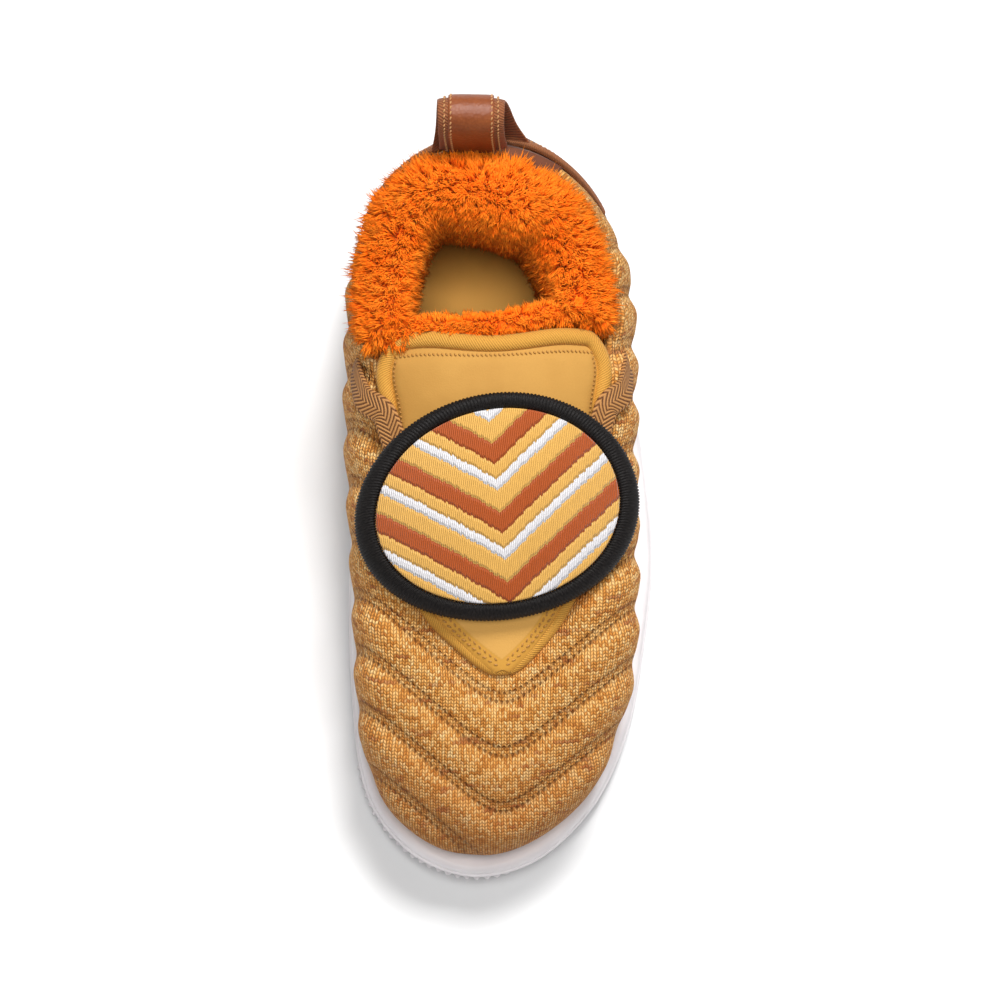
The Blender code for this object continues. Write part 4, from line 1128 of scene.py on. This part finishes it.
def strapMaterial():
    material, tree = newMaterial("herringboneElastic", Roughness=0.75, Specular_IOR_Level=0.25)
    u, v = clothMap(tree)
    # slanted ribs that turn back every chevron width
    fold = pingPong(v, strap["chevron"])
    line = fraction((u + fold) / strap["rib"])
    rib = 1.0 - abs(line * 2.0 - 1.0)
    yarn = noise(vector(u, v), 3.0, 3.0, 0.6)
    tone = rib * 0.65 + yarn * 0.45
    return paint(material, tones(tone, ((0.28, strap["shade"]), (0.72, strap["colour"]))), rib, 0.22)


# Flat band: a squared oval profile along a line, with both ends drawn together so that welding closes them.
def bandGrid(line, normals, width, thick, sides=28):
    width = np.broadcast_to(width, len(line))[:, None]
    grid, out = tubeGrid(line, normals, width / 2, np.full_like(width, thick / 2), sides, powers=(0.45, 0.75))
    ends = [np.repeat(row.mean(axis=0)[None, None], sides, axis=1) for row in (grid[0], grid[-1])]
    return np.concatenate([ends[0], grid, ends[1]]), out


# A flat band along each strap's line.
def makeStraps():
    webbing = strapMaterial()
    for name, node, side in (("strapInner", "strap_inner", -1), ("strapOuter", "strap_outer", 1)):
        line, normals, length = strapLine(side)
        grid, wide = bandGrid(line + normals * strap["thick"] / 2, normals, strap["width"], strap["thick"])
        uv = mapOf(np.linspace(0, length, len(grid))[:, None], wide * strap["width"] / 2)
        gridPiece(name, grid, webbing, "brown_elastic", [node], uv)


makePatch()
makeStraps()
print("patch and straps are made")


# Fur collar: a soft roll on the collar's edge under a deep pile of clumped strands

fur = {
    "frontShare": 0.12, "frontPlace": 0.279, "frontSize": 0.36, "behindTongue": (0.0, 0.2, -0.3),
    "root": 3.0, "points": 88,
    "section": (  # from under the outer lip over the top to the inner foot: inward, up
        (-1.0, 1.0), (-3.2, 2.4), (-3.0, 4.8), (-0.4, 6.6), (3.6, 7.2), (7.8, 5.8), (10.6, 2.2), (11.6, -2.6),
        (10.8, -7.6), (8.4, -11.4), (5.4, -11.8), (3.6, -7.0), (3.0, -1.2),
    ),
    "plan": (  # place on the ring, how far it stands in, share of its full width
        (0.00, 8.2, 0.88), (0.05, 8.6, 0.86), (0.11, 7.0, 0.78), (0.20, 5.2, 0.50), (0.80, 1.4, 0.32),
        (0.89, 2.2, 0.64), (0.95, 5.4, 0.94), (1.00, 8.2, 0.88),
    ),
    "around": 360, "across": 48,
    "strands": 14000, "batches": 3, "clumps": 2200,
    "length": (2.5, 4.2), "radius": 0.18, "gather": 0.28, "clumpReach": (0.72, 1.1),
    "sway": 0.38, "stray": 0.36, "strayShare": 0.28, "droop": 0.30, "seed": 11,
    # first colour: painted shade deep in the pile at the strands' roots; last colour: painted highlight at
    # their tips
    "rootShade": (0.90, 0.120, 0.002), "colour": (0.95, 0.180, 0.005), "tip": (1.0, 0.26, 0.015),
}


# Line, inward direction, size and width of the roll at places 0 to 1 round it. Near the solid's line, but up
# to 2 mm further in at the collar and about 3 mm nearer the tongue's top in front.
def furLine(at):
    u = steps(fur["points"])
    collar = (np.abs(u - 0.5) - fur["frontShare"]) / (0.5 - fur["frontShare"])
    top = fur["frontPlace"]
    reach = np.where(collar < 0, np.abs(u - 0.5) / fur["frontShare"] * top, top + collar * (0.5 - top))
    place = 0.5 + np.sign(u - 0.5) * reach
    front = np.abs(place - 0.5) < top
    behind = tongueForm(np.ones_like(u), np.clip((0.5 - place) / top, -1, 1)) + fur["behindTongue"]
    line = np.where(front[:, None], behind, ringAt(collarRing, place))
    size = np.where(front, fur["frontSize"], 1.0)[:, None]
    for _ in range(3):
        line, size = (blurred(column, np.array((1, 2, 1)), "wrap") for column in (line, size))
    run = unit((np.roll(line, -1, axis=0) - np.roll(line, 1, axis=0))[:, :2])
    inward = withHeight(turned(run), 0 * u)
    stand, inset, width = np.asarray(fur["plan"]).T
    line = line + inward * np.interp(place, stand, inset)[:, None]
    table = np.column_stack([line, inward, size, np.interp(place, stand, width)])
    table = np.vstack([table, table[:1]])
    known = np.linspace(0, 1, len(table))
    made = np.stack([np.interp(np.asarray(at) % 1, known, column) for column in table.T], axis=-1)
    return made[..., :3], unit(made[..., 3:6]), made[..., 6:7], made[..., 7:8]


furSection = makeRing(fur["section"], 6)
sectionKnots = furSection["place"][::24]


# Skin of the roll: a runs round the collar, b round the section; the skin lies below the strand tips.
def furSkin(a, b, sink=-0.4):
    line, inward, size, width = furLine(a)
    section = ringAt(furSection, b)
    middle = np.mean(fur["section"], axis=0)
    section = section - sink * unit(section - middle)
    broad = np.minimum(section[..., :1], fur["root"]) + np.maximum(section[..., :1] - fur["root"], 0) * width
    return line + inward * broad * size + (0, 0, 1) * section[..., 1:] * size


def furMaterial():
    material, tree = newMaterial("orangePile", Roughness=0.75, Specular_IOR_Level=0.1, Sheen_Weight=0.35,
                                 Sheen_Roughness=0.45, Sheen_Tint=(1.0, 0.36, 0.06, 1))
    cloud = noise(objectPlace(tree), 150.0)
    # tone runs from painted shade at a strand's root to a painted highlight at its tip, varied at random by
    # clump and cloud
    tone = onPoints(tree, "along") * 0.72 + onPoints(tree, "lock") * 0.36 + (cloud * 1.2 - 0.62)
    return paint(material, tones(tone, ((0.06, fur["rootShade"]), (0.42, fur["colour"]), (0.95, fur["tip"]))))


strandWay = (0.0, 0.58, 1.0)  # places of the rings and the tip on a strand
strandFaces = np.concatenate([np.array([[0, 2, 1]])] + bandFaces(0, 3, 3) + endFaces(3, 6, 3))


# Strands: each leaves the skin along its own mix of the skin's normal and its clump's lean, is drawn towards
# the clump's middle on the way out, and bends over by the square of the way. Two rings of three and a tip.
def makeFur():
    rng = np.random.default_rng(fur["seed"])
    pile = furMaterial()
    skin = furSkin(steps(fur["around"])[:, None], steps(fur["across"])[None, :])
    even = np.full(skin.shape[:2], 0.4)
    values = {"along": even, "lock": even}
    gridPiece("furRoll", skin, pile, "orange_fur", ["fur_collar"], values=values, closeRows=True)
    low, high = sectionKnots[1] - 0.04, sectionKnots[9]

    def rootsAt(count):
        # more roots where the roll is large: places are drawn from its running size
        sizes = furLine(np.linspace(0, 1, 400))[2][:, 0] + 0.25
        spread = np.cumsum(sizes) / np.sum(sizes)
        around = np.interp(rng.uniform(0, 1, count), spread, np.linspace(0, 1, 400))
        over = rng.uniform(low, high, count)
        place = furSkin(around, over)
        alongRing = furSkin(around + 0.002, over) - furSkin(around - 0.002, over)
        alongSection = unit(furSkin(around, over + 0.004) - furSkin(around, over - 0.004))
        normal = unit(np.cross(alongRing, alongSection))
        centre = furLine(around)[0]
        away = np.sum(normal * (place - centre - (0, 0, -2)), axis=-1, keepdims=True)
        normal = np.where(np.median(away) < 0, -normal, normal)
        comb = ((over - low) / (high - low) - 0.42)[:, None]
        corner = ease((np.abs(around - 0.5) - 0.085) / 0.03)[:, None]  # longer beside the tongue's corners
        size = np.maximum(furLine(around)[2], 0.8 * corner)
        return place, normal, alongSection, unit(alongRing), comb, size

    clumpPlace, clumpNormal, clumpOver, clumpRing, clumpComb, _ = rootsAt(fur["clumps"])
    sway = rng.normal(0, fur["sway"], (fur["clumps"], 2))
    clumpLean = unit(clumpNormal + clumpOver * (0.8 * clumpComb + sway[:, :1]) + clumpRing * sway[:, 1:])
    clumpTone = rng.uniform(0, 1, fur["clumps"])
    clumpReach = rng.uniform(*fur["clumpReach"], fur["clumps"])
    for batch in range(fur["batches"]):
        root, normal, over, _, comb, size = rootsAt(fur["strands"])
        apart = ((root[:, None, :] - clumpPlace[None]) ** 2).sum(axis=-1)
        mine = np.argmin(apart, axis=1)
        own = unit(normal + over * 0.7 * comb + rng.normal(0, fur["stray"], root.shape))
        lean = unit(clumpLean[mine] + (own - clumpLean[mine]) * fur["strayShare"])
        length = rng.uniform(*fur["length"], len(root)) * clumpReach[mine] * (0.42 + 0.58 * size[:, 0])
        length = length * (1 - 0.45 * ease((comb[:, 0] - 0.05) / 0.35))  # shorter towards the foot
        way = np.array(strandWay)[None, :, None]
        offset = root - clumpPlace[mine]
        middle = clumpPlace[mine][:, None] + offset[:, None] * (1 - fur["gather"] * way ** 1.3)
        droop = (0, 0, -fur["droop"]) + over * 0.35 * comb + rng.normal(0, 0.12, root.shape)
        middle = middle + length[:, None, None] * (lean[:, None] * way + droop[:, None] * way ** 2)
        side = unit(np.cross(lean, rng.normal(0, 1, root.shape)))
        other = np.cross(lean, side)
        turn = 2 * pi * steps(3)[:, None]
        girth = fur["radius"] * np.array((1.0, 0.75))[:, None, None]
        spokes = np.cos(turn) * side[:, None] + np.sin(turn) * other[:, None]
        rings = middle[:, :2, None] + girth * spokes[:, None]
        points = np.concatenate([rings.reshape(-1, 6, 3), middle[:, 2:]], axis=1)
        faces = strandFaces + (7 * np.arange(len(root)))[:, None, None]
        # along carries the painted shade at the root and the painted highlight at the tip
        along = np.tile(np.repeat(strandWay, (3, 3, 1)), len(root))
        tone = np.repeat(np.clip(clumpTone[mine] + rng.normal(0, 0.15, len(root)), 0, 1), 7)
        newPiece(f"furPile{batch + 1}", points, faces.reshape(-1, 3), pile, "orange_fur", ["fur_collar"],
                 values={"along": along, "lock": tone})


makeFur()
print("fur is made")


# Heel: brown panel with a bound upper edge, a facing over the collar's back and a folded pull loop

heel = {
    "thick": 1.2, "gap": 0.45, "foot": 0.08, "top": (0.97, 0.30), "sweep": 1.3,
    "along": 120, "up": 40,
    "colour": (0.165, 0.058, 0.030), "worn": (0.105, 0.034, 0.017),
    "edgeColour": (0.34, 0.125, 0.045), "edgeShade": (0.150, 0.045, 0.016), "edgeRadius": 0.95,
    "facingReach": 0.062,
    "threadColour": (0.50, 0.235, 0.085, 1), "stitch": (1.3, 1.0, 0.36, 0.2),  # pitch, length, width, height
}

loop = {
    "thick": 1.6, "samples": 150,
    "path": (  # from the rear foot over the fold to the front foot: y, z, middle x, half width, bow
        (66.4, 71.0, -6.4, 10.4, 3.6), (67.8, 76.0, -7.4, 8.6, 2.2), (68.6, 81.5, -8.2, 7.7, 1.0),
        (68.6, 86.0, -8.8, 7.1, 0.3), (67.2, 88.6, -9.0, 6.9, 0.0), (65.1, 88.2, -9.0, 6.8, 0.0),
        (63.7, 85.0, -8.8, 6.8, 0.0), (63.2, 80.5, -8.4, 6.9, 0.0), (62.9, 76.0, -8.0, 7.1, 0.0),
    ),
    "sleeveHalf": 4.7, "sleeveThick": 0.7, "sleeveStart": 0.36,
    "leather": (0.200, 0.046, 0.009), "leatherWorn": (0.27, 0.072, 0.016),
    "tape": (0.30, 0.105, 0.040), "tapeShade": (0.120, 0.035, 0.012),
    "threadColour": (0.55, 0.27, 0.10, 1),
    "stitch": (1.05, 0.85, 0.4, 0.2, 0.35),  # pitch, length, width, height, slant
}


# Upper edge of the heel panel: highest behind the heel, falling to its ends by a power of the way.
def heelTop(u):
    middle, end = heel["top"]
    return middle + (end - middle) * (np.abs(u) / upperShape["counterReach"]) ** heel["sweep"]


def leatherMaterial():
    material, tree = newMaterial("brownLeather", Roughness=0.5, Specular_IOR_Level=0.4, Coat_Weight=0.08,
                                 Coat_Roughness=0.4)
    place = objectPlace(tree)
    cells = addNode(tree, "TexVoronoi", {"Vector": place, "Scale": 1500.0}, "Distance")
    cloud = noise(place, 160.0, 4.0, 0.6)
    colour = tones(cells * -0.25 + (cloud + 0.1), ((0.3, loop["leather"]), (0.75, loop["leatherWorn"])))
    return paint(material, colour, cells + cloud, 0.09, 0.7)


# Panel between two lines on the upper, a tube along its top, a row of stitches and a facing.
def makeHeel():
    reach = upperShape["counterReach"]
    u = np.linspace(-reach, reach, heel["along"])[:, None]
    share = np.linspace(0, 1, heel["up"])[None, :]
    v = heel["foot"] + (heelTop(u) - heel["foot"]) * share
    puff = 0.35 * ease(share / 0.12) * ease((1 - share) / 0.12)
    outer = offUpper(u, v, heel["gap"] + heel["thick"] - 0.3 + puff)
    inner = offUpper(u, v, heel["gap"])
    felt = feltedMaterial("brownFelt", heel, 0.85)
    sheetPiece("heelPanel", outer, inner, felt, "dark_brown_panel", ["heel_counter"])
    # bound edge along the top, with a row of stitches just below it
    edge = np.linspace(-reach, reach, 260)
    at = edge, heelTop(edge)
    line, normals, length = evenly(offUpper(*at, heel["gap"] + 0.6), 300, upperNormal(*at))
    way = np.linspace(0, 1, 300)[:, None]
    radius = heel["edgeRadius"] * ease(way / 0.03) * ease((1 - way) / 0.03)
    sides = 14
    grid, _ = tubeGrid(line, normals, 0.05 + radius, 0.05 + 0.8 * radius, sides)
    uv = mapOf(way * length, np.linspace(0, 2 * pi * heel["edgeRadius"], sides)[None, :])
    tape = tapeMaterial("brownBinding", heel["edgeColour"], heel["edgeShade"])
    gridPiece("heelEdge", grid, tape, "dark_brown_panel", uv=uv)
    below = np.linspace(-0.93, 0.93, 200) * reach
    at = below, heelTop(below) - 2.0 / np.maximum(openingSpan(below), 20)
    row = offUpper(*at, heel["gap"] + heel["thick"] + 0.1)
    thread = threadMaterial("tanThread", heel["threadColour"])
    newPiece("heelStitching", *stitches(row, upperNormal(*at), *heel["stitch"]), thread, "dark_brown_panel")
    # facing: up the back of the collar, over its rim and in to the fur
    u = np.linspace(-heel["facingReach"], heel["facingReach"], 60)[:, None]
    up = offUpper(u, np.linspace(0.93, 1.0, 8)[None, :], 0.5)
    run = unit((ringAt(collarRing, u + 0.002) - ringAt(collarRing, u - 0.002))[..., :2])
    inward = withHeight(turned(run), 0 * u)
    stand, inset, _ = np.asarray(fur["plan"]).T
    depth = np.interp(u % 1, stand, inset) + 2.5
    way = np.linspace(0.05, 1, 16)[None, :]
    over = ringAt(collarRing, u) + inward * (depth * way)[..., None]
    over[..., 2] += 1.3 * np.sin(pi * np.clip(way * 1.6, 0, 1)) + 0.2 - 2.0 * way ** 2
    outside = np.concatenate([up, over], axis=1)
    sheetPiece("heelFacing", outside, outside - (0, 0, 0.35), felt, "dark_brown_panel")


# A flat band along a smooth path over the fold, bowed by the square of the width at its foot.
def makeLoop():
    run = np.linspace(0, 1, loop["samples"])
    y, z, x, half, bow = (smoothColumn(evenRows(loop["path"]), k, run) for k in range(1, 6))
    line = np.column_stack([x, y, z])
    forward = unit(np.gradient(np.column_stack([y, z]), axis=0))
    outward = np.column_stack([0 * y, forward[:, 1], -forward[:, 0]])
    length = evenly(line, 2)[-1]
    grid, wide = bandGrid(line + outward * loop["thick"] / 2, outward, 2 * half, 1.2, 36)
    grid[1:-1, :, 1] -= bow[:, None] * wide ** 2
    grid[0, :, 1] -= bow[0] / 3
    along = np.concatenate([[0], run * length, [length]])[:, None]
    uv = mapOf(along, wide * 7.0)
    woven = tapeMaterial("brownWebbing", loop["tape"], loop["tapeShade"], 0.7)
    gridPiece("loopWebbing", grid, woven, "brown_leather", ["pull_loop"], uv)
    # leather sleeve over the fold, with a row of stitches just inside and just outside each edge
    use = run > loop["sleeveStart"]
    outward = outward[use]
    face = line[use] + outward * (loop["thick"] - 0.05)
    grid, _ = bandGrid(face + outward * 0.1, outward, 2 * loop["sleeveHalf"], loop["sleeveThick"], 36)
    gridPiece("loopLeather", grid, leatherMaterial(), "brown_leather")
    rows = []
    for past, lift in ((-0.5, 0.35), (0.8, -0.1)):
        for side in (-1, 1):
            row = face + outward * lift + (side * (loop["sleeveHalf"] + past), 0, 0)
            rows.append(stitches(row, outward, *loop["stitch"]))
    thread = threadMaterial("loopThread", loop["threadColour"])
    newPiece("loopStitching", *joined(rows), thread, "brown_leather")


# Sock liner inside the shoe, with a short nap

liner = {
    "around": 320, "lid": 40, "margin": 1.2,
    "rings": ((0.6, 0.3), (0.0, 1.2), (0.3, 2.6), (1.2, 3.2)),  # from foot to rim: inset, rise
    # low is the paler colour of the painted light on the liner's front
    "colour": (0.74, 0.33, 0.062), "worn": (0.56, 0.225, 0.036), "low": (1.0, 0.50, 0.110),
    "paintedLightTo": (41.0, 14.0),  # painted light: the liner is painted paler in front of this place, over this length
}


# Rings set in from the foot of the upper, closed by lids.
def makeLiner():
    u = steps(liner["around"])
    foot = smoothColumn(upperShape["footInset"], 1, u) + upperShape["wall"] + liner["margin"]
    inset, rise = np.asarray(liner["rings"]).T[..., None]
    plan = solePlan(u, foot + inset)
    rings = withHeight(plan, soleTop(plan[..., 1]) + rise)
    top = lidRows(rings[-1], liner["lid"], lambda p: soleTop(p[..., 1]) + rise[-1])
    bottom = lidRows(rings[0], 6, lambda p: soleTop(p[..., 1]) + rise[0])
    points = np.concatenate([bottom[::-1], rings, top])
    # painted light on the liner's front, fading out towards the heel
    place, fade = liner["paintedLightTo"]
    paintedLight = 1 - ease((points[..., 1] - place) / fade)
    nap = feltedMaterial("tanNap", liner, 0.9)
    gridPiece("sockLiner", points, nap, "tan_liner", ["insole"], values={"low": paintedLight})


makeHeel()
makeLoop()
makeLiner()
print("heel, loop and sock liner are made")
